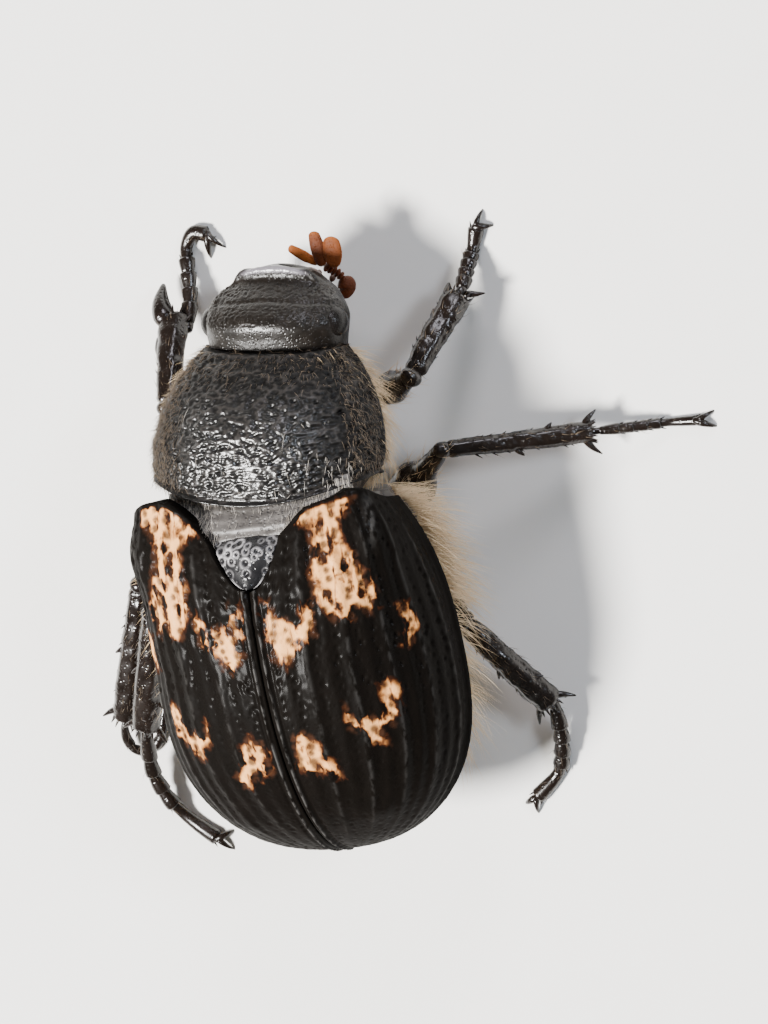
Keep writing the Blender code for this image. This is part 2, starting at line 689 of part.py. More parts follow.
# A leg: the seat on the trunk, the low point under the belly, the knee, the ankle and the route
# of the foot. A spine is (share of the shin, side, lift, radius, reach, lean to the foot).
BACK_SPINES = (
    (0.46, 1, 0.2, 0.09, 0.16, 0.8),
    (0.66, -1, 0.2, 0.08, 0.14, 0.8),
    (0.88, 1, 0.0, 0.09, 0.34, 0.9),
    (0.88, -1, 0.0, 0.09, 0.30, 0.9),
)
FRONT_SPINES = (
    (0.60, -1, 0.0, 0.11, 0.34, 1.0),
    (0.82, -1, 0.0, 0.12, 0.68, 2.0),
    (0.88, 1, 0.1, 0.08, 0.22, 0.8),
)
BLUNT_SPINES = (
    (0.62, -1, 0.0, 0.11, 0.12, 1.0),
    (0.86, -1, 0.0, 0.11, 0.20, 1.6),
    (0.90, 1, 0.1, 0.08, 0.22, 0.8),
)
LEGS = {
    "front_left": dict(
        seat=(0.62, -2.37, 0.84), sag=(1.40, -2.44, 0.97), knee=(2.30, -2.50, 1.50),
        ankle=(2.15, -3.73, 0.60), girth=(0.33, 0.22, 0.14), slim=1.0, spines=FRONT_SPINES,
        route=((2.16, -4.22, 0.34), (2.19, -4.65, 0.20), (2.20, -4.98, SOLE_DEPTH),
               (2.04, -5.17, SOLE_DEPTH), (1.78, -5.12, SOLE_DEPTH)),
        claws=((-0.20, 0.24, -0.10), (-0.30, 0.06, -0.10))),
    "front_right": dict(
        seat=(-0.88, -2.22, 0.84), sag=(-1.42, -2.36, 0.97), knee=(-2.06, -2.54, 1.52),
        ankle=(-2.77, -3.75, 0.60), girth=(0.24, 0.20, 0.14), slim=0.88, spines=BLUNT_SPINES,
        route=((-2.80, -4.05, 0.34), (-2.86, -4.38, SOLE_DEPTH), (-2.97, -4.69, SOLE_DEPTH)),
        claws=((-0.26, 0.02, -0.10), (-0.12, -0.26, -0.10))),
    "middle_left": dict(
        seat=(0.88, -0.35, 0.84), sag=(1.80, -0.34, 0.92), knee=(3.44, 0.30, 1.28),
        ankle=(4.59, 2.68, 0.42), girth=(0.33, 0.19, 0.13), slim=1.0, spines=BACK_SPINES,
        route=((4.68, 2.92, 0.27), (4.61, 3.14, 0.19), (4.38, 3.20, SOLE_DEPTH),
               (4.16, 3.02, SOLE_DEPTH), (4.02, 2.62, SOLE_DEPTH), (3.74, 2.06, SOLE_DEPTH)),
        claws=((-0.28, -0.12, -0.10), (-0.06, -0.30, -0.10))),
    "middle_right": dict(
        seat=(-0.88, -0.35, 0.84), sag=(-1.55, -0.76, 0.94), knee=(-2.41, -1.34, 1.55),
        ankle=(-4.69, -1.24, 0.50), girth=(0.33, 0.16, 0.13), slim=0.65, spines=BACK_SPINES,
        route=((-5.25, -1.22, 0.32), (-5.80, -1.20, SOLE_DEPTH), (-6.24, -1.18, SOLE_DEPTH)),
        claws=((-0.28, 0.14, -0.10), (-0.28, -0.12, -0.10))),
    "hind_left": dict(
        seat=(0.95, 0.62, 0.84), sag=(1.85, 0.84, 0.90), knee=(3.08, 0.74, 1.70),
        ankle=(4.03, 2.82, 0.82), girth=(0.34, 0.21, 0.14), slim=1.0, spines=BACK_SPINES,
        route=((4.19, 3.62, 0.42), (4.06, 4.08, 0.24), (3.86, 4.40, SOLE_DEPTH),
               (3.40, 4.78, SOLE_DEPTH)),
        claws=((-0.26, -0.10, -0.10), (-0.22, 0.22, -0.10))),
    "hind_right": dict(
        seat=(-0.95, 0.62, 0.82), sag=(-1.55, 0.98, 0.84), knee=(-2.30, 1.42, 1.55),
        ankle=(-3.20, 3.10, 0.54), girth=(0.34, 0.21, 0.14), slim=0.85, spines=BACK_SPINES,
        route=((-3.12, 3.68, 0.32), (-2.86, 4.24, SOLE_DEPTH), (-2.42, 4.60, SOLE_DEPTH)),
        claws=((0.26, 0.10, -0.10), (0.06, 0.28, -0.10))),
}


def leg(place, plan):
    """The three nodes of one leg, from the trunk to the claws."""
    knee_normal = mitre(plan["sag"], plan["knee"], plan["ankle"])
    ankle_normal = mitre(plan["knee"], plan["ankle"], plan["route"][0])
    thigh, shin, foot = plan["girth"]
    return [
        femur("femur_" + place, plan["seat"], plan["sag"], plan["knee"], knee_normal, thigh,
              plan["slim"]),
        tibia("tibia_" + place, plan["knee"], knee_normal, plan["ankle"], ankle_normal, shin,
              plan["spines"]),
        tarsus("tarsus_" + place, plan["ankle"], ankle_normal, plan["route"], foot,
               plan["claws"]),
    ]


def seats(prefix):
    return [(plan["seat"], np.subtract(plan["sag"], plan["seat"]))
            for place, plan in LEGS.items() if place.startswith(prefix)]


def finish(nodes):
    """Centres the model over the origin, scales it to metres and shades it smooth."""
    corners = np.array([vertex.co for node in nodes for vertex in node.data.vertices])
    middle = 0.5 * (corners.min(axis=0) + corners.max(axis=0))
    for node in nodes:
        for vertex in node.data.vertices:
            vertex.co.x = (vertex.co.x - middle[0]) * MILLIMETRE
            vertex.co.y = (vertex.co.y - middle[1]) * MILLIMETRE
            vertex.co.z = vertex.co.z * MILLIMETRE
        node.data.shade_smooth()


for old in list(bpy.data.objects):
    bpy.data.objects.remove(old)

horn = material("black_horn", BLACK_HORN, 0.30)
case = material("wing_case_black", CASE_BLACK, 0.26)
shield = material("shield_grey", SHIELD_GREY, 0.38)
hairy = material("hairy_brown", HAIRY_BROWN, 0.75)
orange = material("antenna_orange", ANTENNA_ORANGE, 0.40)
lens = material("eye_black", EYE_BLACK, 0.12)
mouth = material("mouth_brown", MOUTH_BROWN, 0.35)

model = [
    (wing_case("elytron_left", 1), case),
    (wing_case("elytron_right", -1), case),
    (scutellum(), shield),
    (pronotum(), shield),
    (prosternum(seats("front")), horn),
    (thorax(seats("middle") + seats("hind")), hairy),
    (abdomen(), hairy),
    (pygidium(), hairy),
    (head(), shield),
    (eye("eye_left", 1), lens),
    (eye("eye_right", -1), lens),
    (mouthparts(), mouth),
    (antenna("antenna_right", [(-0.72, -3.98, 1.02), (-0.76, -4.16, 0.98), (-0.74, -4.36, 1.02),
                               (-0.68, -4.54, 1.14), (-0.62, -4.70, 1.28)],
             (-0.58, -4.78, 1.34), (0.05, -1.0, 0.12), 0.50), orange),
    (antenna("antenna_left", [(0.84, -4.10, 1.17), (0.93, -4.26, 1.02), (0.97, -4.30, 0.84),
                              (0.95, -4.20, 0.72), (0.92, -4.08, 0.70)],
             (0.90, -3.98, 0.70), (-0.06, 1.0, -0.10), 0.16), orange),
]
for leg_place, leg_plan in LEGS.items():
    model += [(node, horn) for node in leg(leg_place, leg_plan)]

for node, node_material in model:
    node.data.materials.clear()
    node.data.materials.append(node_material)
finish([node for node, _ in model])
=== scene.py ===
"""Looks of the garden chafer Exomala campestris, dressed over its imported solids.

Shapes are worked out in millimetres in the beetle's own axes: the seam of the wing cases is
x = 0, the head points to -y, the beetle's left is +x and the floor is z = 0.
"""

import math

import bpy
import numpy as np
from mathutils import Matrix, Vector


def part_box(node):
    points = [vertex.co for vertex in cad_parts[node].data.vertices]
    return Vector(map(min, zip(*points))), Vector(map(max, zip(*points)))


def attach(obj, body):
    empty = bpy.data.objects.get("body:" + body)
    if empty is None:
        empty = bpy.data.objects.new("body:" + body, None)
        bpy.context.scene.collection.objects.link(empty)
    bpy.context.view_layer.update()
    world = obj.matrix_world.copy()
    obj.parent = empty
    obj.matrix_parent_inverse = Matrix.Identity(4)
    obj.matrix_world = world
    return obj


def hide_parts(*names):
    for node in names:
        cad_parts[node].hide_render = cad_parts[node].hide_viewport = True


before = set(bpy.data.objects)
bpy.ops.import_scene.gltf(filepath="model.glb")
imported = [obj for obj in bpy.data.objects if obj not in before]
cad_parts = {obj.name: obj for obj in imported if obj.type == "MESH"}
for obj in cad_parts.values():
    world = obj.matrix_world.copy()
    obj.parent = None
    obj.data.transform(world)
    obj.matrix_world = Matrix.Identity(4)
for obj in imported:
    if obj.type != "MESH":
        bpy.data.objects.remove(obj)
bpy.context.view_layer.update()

# Camera
# The photograph looks down on the back, leaning to the beetle's right side and a little to its
# head. A long lens keeps the legs from spreading.
MM = 0.001
CASE_APEX_Y = 4.78
CAMERA_LEAN = math.radians(25.5)
CAMERA_AHEAD = math.radians(6.0)
CAMERA_ROLL = math.radians(9.3)
CAMERA_NEAR_LIMIT = 0.005
PHOTO_WIDTH, PHOTO_HEIGHT = 768, 1024
PHOTO_PIXELS_PER_MM = 62.7
PHOTO_ZERO_X, PHOTO_ZERO_Y = 359.0, 532.0
LENS = 300.0
SENSOR = 36.0
BODY_MIDDLE_DEPTH = 2.4

left_case_box, right_case_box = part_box("elytron_left"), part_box("elytron_right")
beetle_zero = np.array([0.5 * (left_case_box[1].x + right_case_box[0].x) / MM,
                        left_case_box[1].y / MM - CASE_APEX_Y, 0.0])


def to_frame(points):
    """Beetle millimetres to metres in the frame."""
    return (np.asarray(points, float) + beetle_zero) * MM


def place_camera():
    to_camera = np.array([-math.sin(CAMERA_LEAN) * math.cos(CAMERA_AHEAD),
                          -math.sin(CAMERA_AHEAD),
                          math.cos(CAMERA_LEAN) * math.cos(CAMERA_AHEAD)])
    level_right = np.array([-math.cos(CAMERA_LEAN), 0.0, -math.sin(CAMERA_LEAN)])
    level_up = np.cross(to_camera, level_right)
    right = math.cos(CAMERA_ROLL) * level_right - math.sin(CAMERA_ROLL) * level_up
    up = np.cross(to_camera, right)
    aim = (right * (PHOTO_WIDTH / 2 - PHOTO_ZERO_X) / PHOTO_PIXELS_PER_MM
           + up * (PHOTO_ZERO_Y - PHOTO_HEIGHT / 2) / PHOTO_PIXELS_PER_MM
           + to_camera * BODY_MIDDLE_DEPTH)
    distance = LENS / SENSOR * PHOTO_HEIGHT / PHOTO_PIXELS_PER_MM
    camera = bpy.data.objects.new("camera", bpy.data.cameras.new("camera"))
    bpy.context.scene.collection.objects.link(camera)
    matrix = np.eye(4)
    matrix[:3, 0], matrix[:3, 1], matrix[:3, 2] = right, up, to_camera
    matrix[:3, 3] = to_frame(aim + to_camera * distance)
    camera.matrix_world = matrix.T.tolist()
    camera.data.lens = LENS
    camera.data.sensor_width = SENSOR
    camera.data.clip_start = CAMERA_NEAR_LIMIT
    bpy.context.scene.camera = camera


place_camera()


# Light and floor
# A wide soft lamp over the beetle's left, a weaker one from the head side and an even pale room
# light the shell as an overcast sky does. The floor is plain matt card.
FLOOR_SIZE = 1.2
FLOOR_COLOUR = (0.74, 0.73, 0.705)
FLOOR_SHADE = 0.97
FLOOR_FIBRES_PER_M = 900.0
ROOM_COLOUR = (1.0, 0.97, 0.93)
ROOM_STRENGTH = 0.20

# Each lamp: its place in metres, size, power and colour. All aim at the middle of the floor.
LAMPS = {"sky_lamp": ((0.13, 0.045, 0.23), 0.07, 3.5, (1.0, 0.98, 0.95)),
         "head_lamp": ((-0.07, -0.22, 0.15), 0.09, 0.40, (0.93, 0.92, 1.0)),
         "right_lamp": ((-0.20, -0.05, 0.17), 0.05, 0.40, (0.80, 0.88, 1.0))}


class Nodes:
    """Short ways to add nodes to one tree. An input takes a value or another node's output."""

    def __init__(self, tree):
        self.tree = tree

    def plug(self, node, inputs):
        for name, value in inputs.items():
            if isinstance(value, bpy.types.NodeSocket):
                self.tree.links.new(value, node.inputs[name])
            else:
                node.inputs[name].default_value = value
        return node

    def add(self, kind, inputs=None, **settings):
        made = self.tree.nodes.new(kind)
        for name, value in settings.items():
            setattr(made, name, value)
        return self.plug(made, inputs or {})

    def number(self, operation, first, second):
        return self.add("ShaderNodeMath", {0: first, 1: second}, operation=operation).outputs[0]

    def vector(self, operation, first, second=None):
        inputs = {0: first}
        if second is not None:
            inputs[3 if operation == "SCALE" else 1] = second
        return self.add("ShaderNodeVectorMath", inputs, operation=operation).outputs["Vector"]

    def noise(self, place, scale, detail=2.0, output="Fac"):
        inputs = {"Vector": place, "Scale": scale, "Detail": detail}
        return self.add("ShaderNodeTexNoise", inputs).outputs[output]

    def ranged(self, value, low, high, to_low=0.0, to_high=1.0, kind="SMOOTHSTEP"):
        inputs = {"Value": value, "From Min": low, "From Max": high, "To Min": to_low,
                  "To Max": to_high}
        return self.add("ShaderNodeMapRange", inputs, interpolation_type=kind).outputs["Result"]

    def mix(self, share, *ends):
        first, second = [end if isinstance(end, bpy.types.NodeSocket) else (*end, 1.0)
                         for end in ends]
        inputs = {"Factor": share, "A": first, "B": second}
        return self.add("ShaderNodeMix", inputs, data_type="RGBA").outputs["Result"]

    def mark(self, name):
        return self.add("ShaderNodeAttribute", attribute_name=name).outputs["Fac"]

    def bump(self, height, strength, depth, under=None, **settings):
        inputs = {"Height": height, "Strength": strength, "Distance": depth * MM}
        if under is not None:
            inputs["Normal"] = under
        return self.add("ShaderNodeBump", inputs, **settings).outputs["Normal"]


class Finish(Nodes):
    """A new material, with places on the piece in metres and in millimetres."""

    def __init__(self, name):
        self.material = bpy.data.materials.new(name)
        self.material.use_nodes = True
        super().__init__(self.material.node_tree)
        self.shader = self.tree.nodes["Principled BSDF"]
        self.metres = self.add("ShaderNodeTexCoord").outputs["Object"]
        self.place = self.vector("SCALE", self.metres, 1.0 / MM)

    def wear(self, inputs):
        self.plug(self.shader, inputs)
        return self.material


def mesh_object(name, mesh):
    made = bpy.data.objects.new(name, mesh)
    bpy.context.scene.collection.objects.link(made)
    return made


def light(name, place, size, power, colour):
    lamp = mesh_object(name, bpy.data.lights.new(name, "AREA"))
    lamp.data.shape = "DISK"
    lamp.data.size = size
    lamp.data.energy = power
    lamp.data.color = colour
    back = np.asarray(place, float) / np.linalg.norm(place)
    side = np.cross((0.0, 1.0, 0.0), back)
    side /= np.linalg.norm(side)
    matrix = np.eye(4)
    matrix[:3, 0], matrix[:3, 1], matrix[:3, 2] = side, np.cross(back, side), back
    matrix[:3, 3] = place
    lamp.matrix_world = matrix.T.tolist()


half_floor = FLOOR_SIZE / 2
floor_mesh = bpy.data.meshes.new("floor")
floor_mesh.from_pydata([(-half_floor, -half_floor, 0), (half_floor, -half_floor, 0),
                        (half_floor, half_floor, 0), (-half_floor, half_floor, 0)],
                       [], [(0, 1, 2, 3)])
card = Finish("floor_card")
fibre = card.noise(card.metres, FLOOR_FIBRES_PER_M, 3.0)
card.wear({"Base Color": card.mix(fibre, [FLOOR_SHADE * c for c in FLOOR_COLOUR], FLOOR_COLOUR),
           "Roughness": 0.85})
floor_mesh.materials.append(card.material)
mesh_object("floor", floor_mesh)

room = bpy.data.worlds.new("room")
room.use_nodes = True
bpy.context.scene.world = room
room.node_tree.nodes["Background"].inputs["Color"].default_value = (*ROOM_COLOUR, 1.0)
room.node_tree.nodes["Background"].inputs["Strength"].default_value = ROOM_STRENGTH
for lamp_name, lamp_sizes in LAMPS.items():
    light(lamp_name, *lamp_sizes)


# Wing cases
# Two domed shells of black horn, ribbed lengthwise, with rows of round pits between the ribs and
# cream patches. Each is one wall that is rolled at its edges and meets its twin along the seam.
CASE_HALF_WIDTH = 2.6
CASE_BASE_Y = -0.95
CASE_WIDEST_Y = 2.1
CASE_BASE_NARROWING = 0.43
CASE_BASE_SHIFT = 0.09
CASE_MARGIN_Z = 2.3
CASE_MARGIN_RISE = 0.55
CASE_VAULT = 2.1
CASE_CROWN_Y = 0.9
CASE_BASE_DROP = 0.3
CASE_SEAM = 0.012
CASE_WALL = 0.30
CASE_ROWS, CASE_COLUMNS = 250, 160
CASE_MIDDLE = (0.0, 1.5, 1.5)
BASE_SECTION_Y = -0.6
FLUSH_FROM, FLUSH_WIDTH = 0.35, 0.30
NOTCH_TIP_Y = 0.25
NOTCH_LENGTH = 0.84
NOTCH_HALF = 0.64
RIB_SHARES = (0.17, 0.35, 0.53, 0.71, 0.88)
RIB_HEIGHT, RIB_WIDTH = 0.034, 0.026
LOW_RIB_SHARES = (0.085, 0.26, 0.44, 0.62, 0.80)
LOW_RIB_HEIGHT, LOW_RIB_WIDTH = 0.014, 0.022
# Half-width of the painted highlight lines along the rib crests.
PAINTED_GLINT_WIDTH = 0.009
PIT_ROW_SHARES = (0.056, 0.118, 0.222, 0.300, 0.400, 0.482, 0.580, 0.662, 0.757, 0.838, 0.93)
PIT_PITCH = 0.135
PIT_RADIUS = 0.058
PIT_DEPTH = 0.026
SHOULDER_BUMP = 0.17
BUMP_SHARE, BUMP_SHARE_WIDTH = 0.62, 0.20
BUMP_Y, BUMP_LENGTH = -0.48, 0.55
APEX_BUMP, APEX_BUMP_Y = 0.05, 4.05
PATCH_SOFT_INSIDE, PATCH_SOFT_OUTSIDE = 0.15, 0.26

# Ridges and grooves as (height, place, half-width), by the distance from the seam and from the
# outer edge.
SEAM_FOLDS = ((0.034, 0.088, 0.024), (-0.016, 0.17, 0.03), (-0.020, 0.0, 0.014))
EDGE_FOLDS = ((0.035, 0.06, 0.05), (-0.03, 0.2, 0.06))
BASE_LOBE = {1: 0.71, -1: 0.63}
LOBE_REACH = {1: 0.92, -1: 1.15}
SHOULDER_CORNER_X = {1: 1.62, -1: 1.75}
SHOULDER_REACH = {1: 0.70, -1: 0.54}
SHOULDER_ROUNDING = {1: 0.62, -1: 0.55}
SHIELD_BASE_Y = -1.04
SHIELD_CORNER_Y = -1.42
SHIELD_REAR_HALF = 1.92
FORE_TURN = math.radians(-6.0)
SHIELD_CLEARANCE = 0.08
HORN_BLACK = (0.0022, 0.0018, 0.0014)
HORN_BROWN_BLACK = (0.0042, 0.0031, 0.0024)
PATCH_RUST = (0.020, 0.0062, 0.0026)
PATCH_ORANGE = (0.080, 0.030, 0.011)
PATCH_TAN = (0.27, 0.108, 0.032)
PATCH_CREAM = (0.72, 0.35, 0.125)
# A painted highlight: light grey laid along the rib crests, the seam ridges and a streak on each
# shoulder.
PAINTED_GLINT_GREY = (0.042, 0.040, 0.038)
PIT_BROWN = (0.030, 0.012, 0.006)
PATCH_STOPS = ((0.0, HORN_BLACK), (0.14, HORN_BROWN_BLACK), (0.38, PATCH_RUST),
               (0.48, PATCH_ORANGE), (0.63, PATCH_TAN), (0.95, PATCH_CREAM))
HOLLOWS_PER_MM = 5.6
HOLLOW_BEND = 0.14
PORE_DEPTH = 0.02
GRAIN_DEPTH = 0.008
GRAINS_PER_MM = 38.0

# Outlines of the cream patches as (distance from the seam over the vault, y), on both sides.
PATCHES = (
    ((0.72, -0.74), (0.95, -0.88), (1.35, -1.16), (1.70, -1.28), (1.98, -1.20), (1.90, -0.92),
     (1.68, -0.62), (1.74, -0.32), (1.88, 0.05), (2.10, 0.34), (2.13, 0.55), (2.03, 0.80),
     (1.88, 0.82), (1.72, 0.70), (1.62, 0.86), (1.42, 0.90), (1.28, 0.78), (1.14, 0.50),
     (1.10, 0.10), (1.20, -0.28), (1.18, -0.55), (1.02, -0.70)),
    ((0.20, 0.42), (0.32, 0.40), (0.42, 0.68), (0.56, 0.72), (0.78, 0.80), (0.92, 0.55),
     (1.10, 0.48), (1.04, 1.02), (0.80, 1.12), (0.62, 1.40), (0.42, 1.50), (0.24, 1.30),
     (0.18, 0.90)),
    ((2.44, 0.78), (2.65, 0.78), (2.76, 1.16), (2.58, 1.43), (2.40, 1.46), (2.40, 1.15)),
    ((1.22, 2.22), (1.38, 2.52), (1.58, 2.44), (1.72, 2.48), (1.84, 2.36), (1.88, 2.00),
     (2.06, 1.94), (2.20, 2.10), (2.06, 2.46), (1.84, 2.66), (1.70, 2.92), (1.52, 2.90),
     (1.46, 2.72), (1.24, 2.60)),
    ((0.25, 2.68), (0.50, 2.60), (0.68, 2.76), (0.70, 3.02), (0.90, 3.18), (0.86, 3.38),
     (0.70, 3.40), (0.62, 3.20), (0.42, 3.30), (0.22, 3.16)),
)


def smooth(value):
    value = np.clip(value, 0.0, 1.0)
    return value * value * (3.0 - 2.0 * value)


def unit(vector):
    vector = np.asarray(vector, float)
    return vector / np.maximum(np.linalg.norm(vector, axis=-1, keepdims=True), 1e-12)


def bell(value):
    return np.exp(-np.square(value))


def folds(place, rows):
    """Heights of ridges and grooves, each given as its height, its place and its half-width."""
    return sum(height * bell((place - at) / width) for height, at, width in rows)


def cloud(first, second, pitch, seed):
    """Smooth random values around 0 over two coordinates, from -1 to 1."""
    knots = np.random.default_rng(seed).uniform(-1.0, 1.0, (64, 64))
    first, second = np.asarray(first) / pitch, np.asarray(second) / pitch
    low_a, low_b = np.floor(first).astype(int), np.floor(second).astype(int)
    part_a, part_b = smooth(first - low_a), smooth(second - low_b)
    value = 0.0
    for step_a, share_a in ((0, 1.0 - part_a), (1, part_a)):
        for step_b, share_b in ((0, 1.0 - part_b), (1, part_b)):
            value = value + knots[(low_a + step_a) % 64, (low_b + step_b) % 64] * share_a * share_b
    return value


def case_half_width(y, inset=0.0):
    rear = np.clip((y - CASE_WIDEST_Y) / (CASE_APEX_Y - inset - CASE_WIDEST_Y), 0.0, 1.0)
    front = np.clip((CASE_WIDEST_Y - y) / (CASE_WIDEST_Y - CASE_BASE_Y), 0.0, 1.0)
    return ((CASE_HALF_WIDTH - inset) * (1.0 - rear ** 2.25) ** (1.0 / 2.3)
            - CASE_BASE_NARROWING * front ** 2)


def case_vault(y, inset=0.0):
    rear = np.clip((y - CASE_CROWN_Y) / (CASE_APEX_Y - inset - CASE_CROWN_Y), 0.0, 1.0)
    front = np.clip((CASE_CROWN_Y - y) / (CASE_CROWN_Y - CASE_BASE_Y), 0.0, 1.0)
    return ((CASE_VAULT - inset) * (1.0 - rear ** 2.3) ** (1.0 / 1.9)
            - (CASE_BASE_DROP + CASE_MARGIN_RISE) * front ** 2)


def case_margin(y):
    front = np.clip((CASE_CROWN_Y - y) / (CASE_CROWN_Y - CASE_BASE_Y), 0.0, 1.0)
    return CASE_MARGIN_Z + CASE_MARGIN_RISE * front ** 2


def case_power(y):
    return 2.2 + 0.9 * np.clip((1.5 - y) / (1.5 - CASE_BASE_Y), 0.0, 1.0)


def case_base(x, side):
    """The front edge: a notch for the small shield, then a lobe, clear of the large shield."""
    notch = NOTCH_TIP_Y - NOTCH_LENGTH * (np.minimum(x, NOTCH_HALF) / NOTCH_HALF) ** 2.4
    lobe = np.sin(math.pi / 2.0 * np.clip((x - NOTCH_HALF) / LOBE_REACH[side], 0.0, 1.0))
    corner = np.clip((x - SHOULDER_CORNER_X[side]) / SHOULDER_REACH[side], 0.0, 0.97)
    rounding = SHOULDER_ROUNDING[side] * (1.0 - np.sqrt(1.0 - corner ** 2))
    edge = notch - BASE_LOBE[side] * lobe + rounding
    share = np.minimum(x / SHIELD_REAR_HALF, 1.0)
    shield_edge = SHIELD_BASE_Y + (SHIELD_CORNER_Y - SHIELD_BASE_Y) * share ** 2
    return np.maximum(edge, shield_edge + side * x * math.tan(FORE_TURN) + SHIELD_CLEARANCE)


def case_grid(shares, rows, inset, side):
    """Points of one wing case's smooth vault, rows from base to apex, columns from the seam."""
    angle = math.pi / 2.0 * (1.0 - shares)
    across, upward = np.cos(angle), np.sin(angle)
    flush = smooth((shares - FLUSH_FROM) / FLUSH_WIDTH)
    base_half = case_half_width(BASE_SECTION_Y, inset * (1.0 - flush))
    base_power = 2.0 / float(case_power(BASE_SECTION_Y))
    base_x = CASE_SEAM + (base_half - CASE_SEAM) * across ** base_power
    travel = np.sin(math.pi / 2.0 * np.linspace(0.0, 1.0, rows))[:, None]
    y = case_base(base_x, side)[None, :] * (1.0 - travel) + (CASE_APEX_Y - inset) * travel
    half = np.maximum(case_half_width(y, inset), CASE_SEAM)
    power = case_power(y)
    x = CASE_SEAM + (half - CASE_SEAM) * across[None, :] ** (2.0 / power)
    z = case_margin(y) + np.maximum(case_vault(y, inset), 0.0) * upward[None, :] ** (2.0 / power)
    front = np.clip((CASE_WIDEST_Y - y) / (CASE_WIDEST_Y - CASE_BASE_Y), 0.0, 1.0)
    x += side * CASE_BASE_SHIFT * front ** 2 * (x - CASE_SEAM) / half
    return np.stack([x, y, z], axis=-1), travel


def case_arc(shares, y):
    """Distance from the seam over the vault at constant y, for every point of a grid."""
    steps = np.linspace(0.0, 1.0, 48) ** 2
    angle = math.pi / 2.0 * (1.0 - shares[None, :, None] * steps)
    power = 2.0 / case_power(y)[..., None]
    x = np.maximum(case_half_width(y), CASE_SEAM)[..., None] * np.cos(angle) ** power
    z = np.maximum(case_vault(y), 0.0)[..., None] * np.sin(angle) ** power
    return np.sum(np.hypot(np.diff(x, axis=-1), np.diff(z, axis=-1)), axis=-1)


def even_shares(count):
    """Column places that lie evenly over a cross-section of the vault."""
    fine = np.linspace(0.0, 1.0, 4001) ** 2
    angle = math.pi / 2.0 * (1.0 - fine)
    x = CASE_HALF_WIDTH * np.cos(angle) ** (2.0 / 2.4)
    z = CASE_VAULT * np.sin(angle) ** (2.0 / 2.4)
    length = np.concatenate([[0.0], np.cumsum(np.hypot(np.diff(x), np.diff(z)))])
    return np.interp(np.linspace(0.0, length[-1], count), length, fine)


def away(grid, centre):
    """Unit normals of a grid of points that point away from a centre."""
    normals = unit(np.cross(np.gradient(grid, axis=0), np.gradient(grid, axis=1)))
    side = np.sign(np.sum(normals * (grid - np.asarray(centre, float)), axis=-1))
    return normals * np.where(side == 0.0, 1.0, side)[..., None]


def stamp(height, mark, grid, place, radius, depth, wide=1.0):
    """Presses one pit with a faint rim, longer across by wide, into heights over a grid."""
    row, column = place
    window = (slice(max(row - 12, 0), row + 13), slice(max(column - 12, 0), column + 13))
    apart = (grid[window] - grid[row, column]) / np.array([wide, 1.0, wide])
    far = np.linalg.norm(apart, axis=-1) / radius
    height[window] -= depth * np.square(np.clip(1.0 - far ** 2, 0.0, 1.0))
    height[window] += 0.22 * depth * bell((far - 1.15) / 0.22)
    mark[window] = np.maximum(mark[window], smooth(1.6 - far))


def inside_distance(outline, first, second):
    """Distance to an outline, positive inside it."""
    outline = np.asarray(outline, float)
    nearest = np.full(np.shape(first), 1e9)
    crossings = np.zeros(np.shape(first), int)
    for start, end in zip(outline, np.roll(outline, -1, axis=0)):
        way = end - start
        share = ((first - start[0]) * way[0] + (second - start[1]) * way[1]) / (way @ way)
        share = np.clip(share, 0.0, 1.0)
        gap = np.hypot(first - start[0] - share * way[0], second - start[1] - share * way[1])
        nearest = np.minimum(nearest, gap)
        spans = (start[1] > second) != (end[1] > second)
        rise = way[1] if abs(way[1]) > 1e-9 else 1e-9
        crossings += spans & (first < start[0] + way[0] * (second - start[1]) / rise)
    return np.where(crossings % 2 == 1, nearest, -nearest)


def shape_from(points, quads, triangles, quad_uvs, triangle_uvs, marks):
    """A closed shape with its faces outward; marks are values or vectors at its points."""
    quads, quad_uvs = quads.reshape(-1, 4), quad_uvs.reshape(-1, 4, 2)
    halves = np.concatenate([quads[:, :3], quads[:, [0, 2, 3]], triangles])
    a, b, c = points[halves[:, 0]], points[halves[:, 1]], points[halves[:, 2]]
    if np.sum(a * np.cross(b, c)) < 0.0:
        quads, triangles = quads[:, ::-1], triangles[:, ::-1]
        quad_uvs, triangle_uvs = quad_uvs[:, ::-1], triangle_uvs[:, ::-1]
    return dict(points=points, quads=quads, triangles=triangles, quad_uvs=quad_uvs,
                triangle_uvs=triangle_uvs, marks=marks)


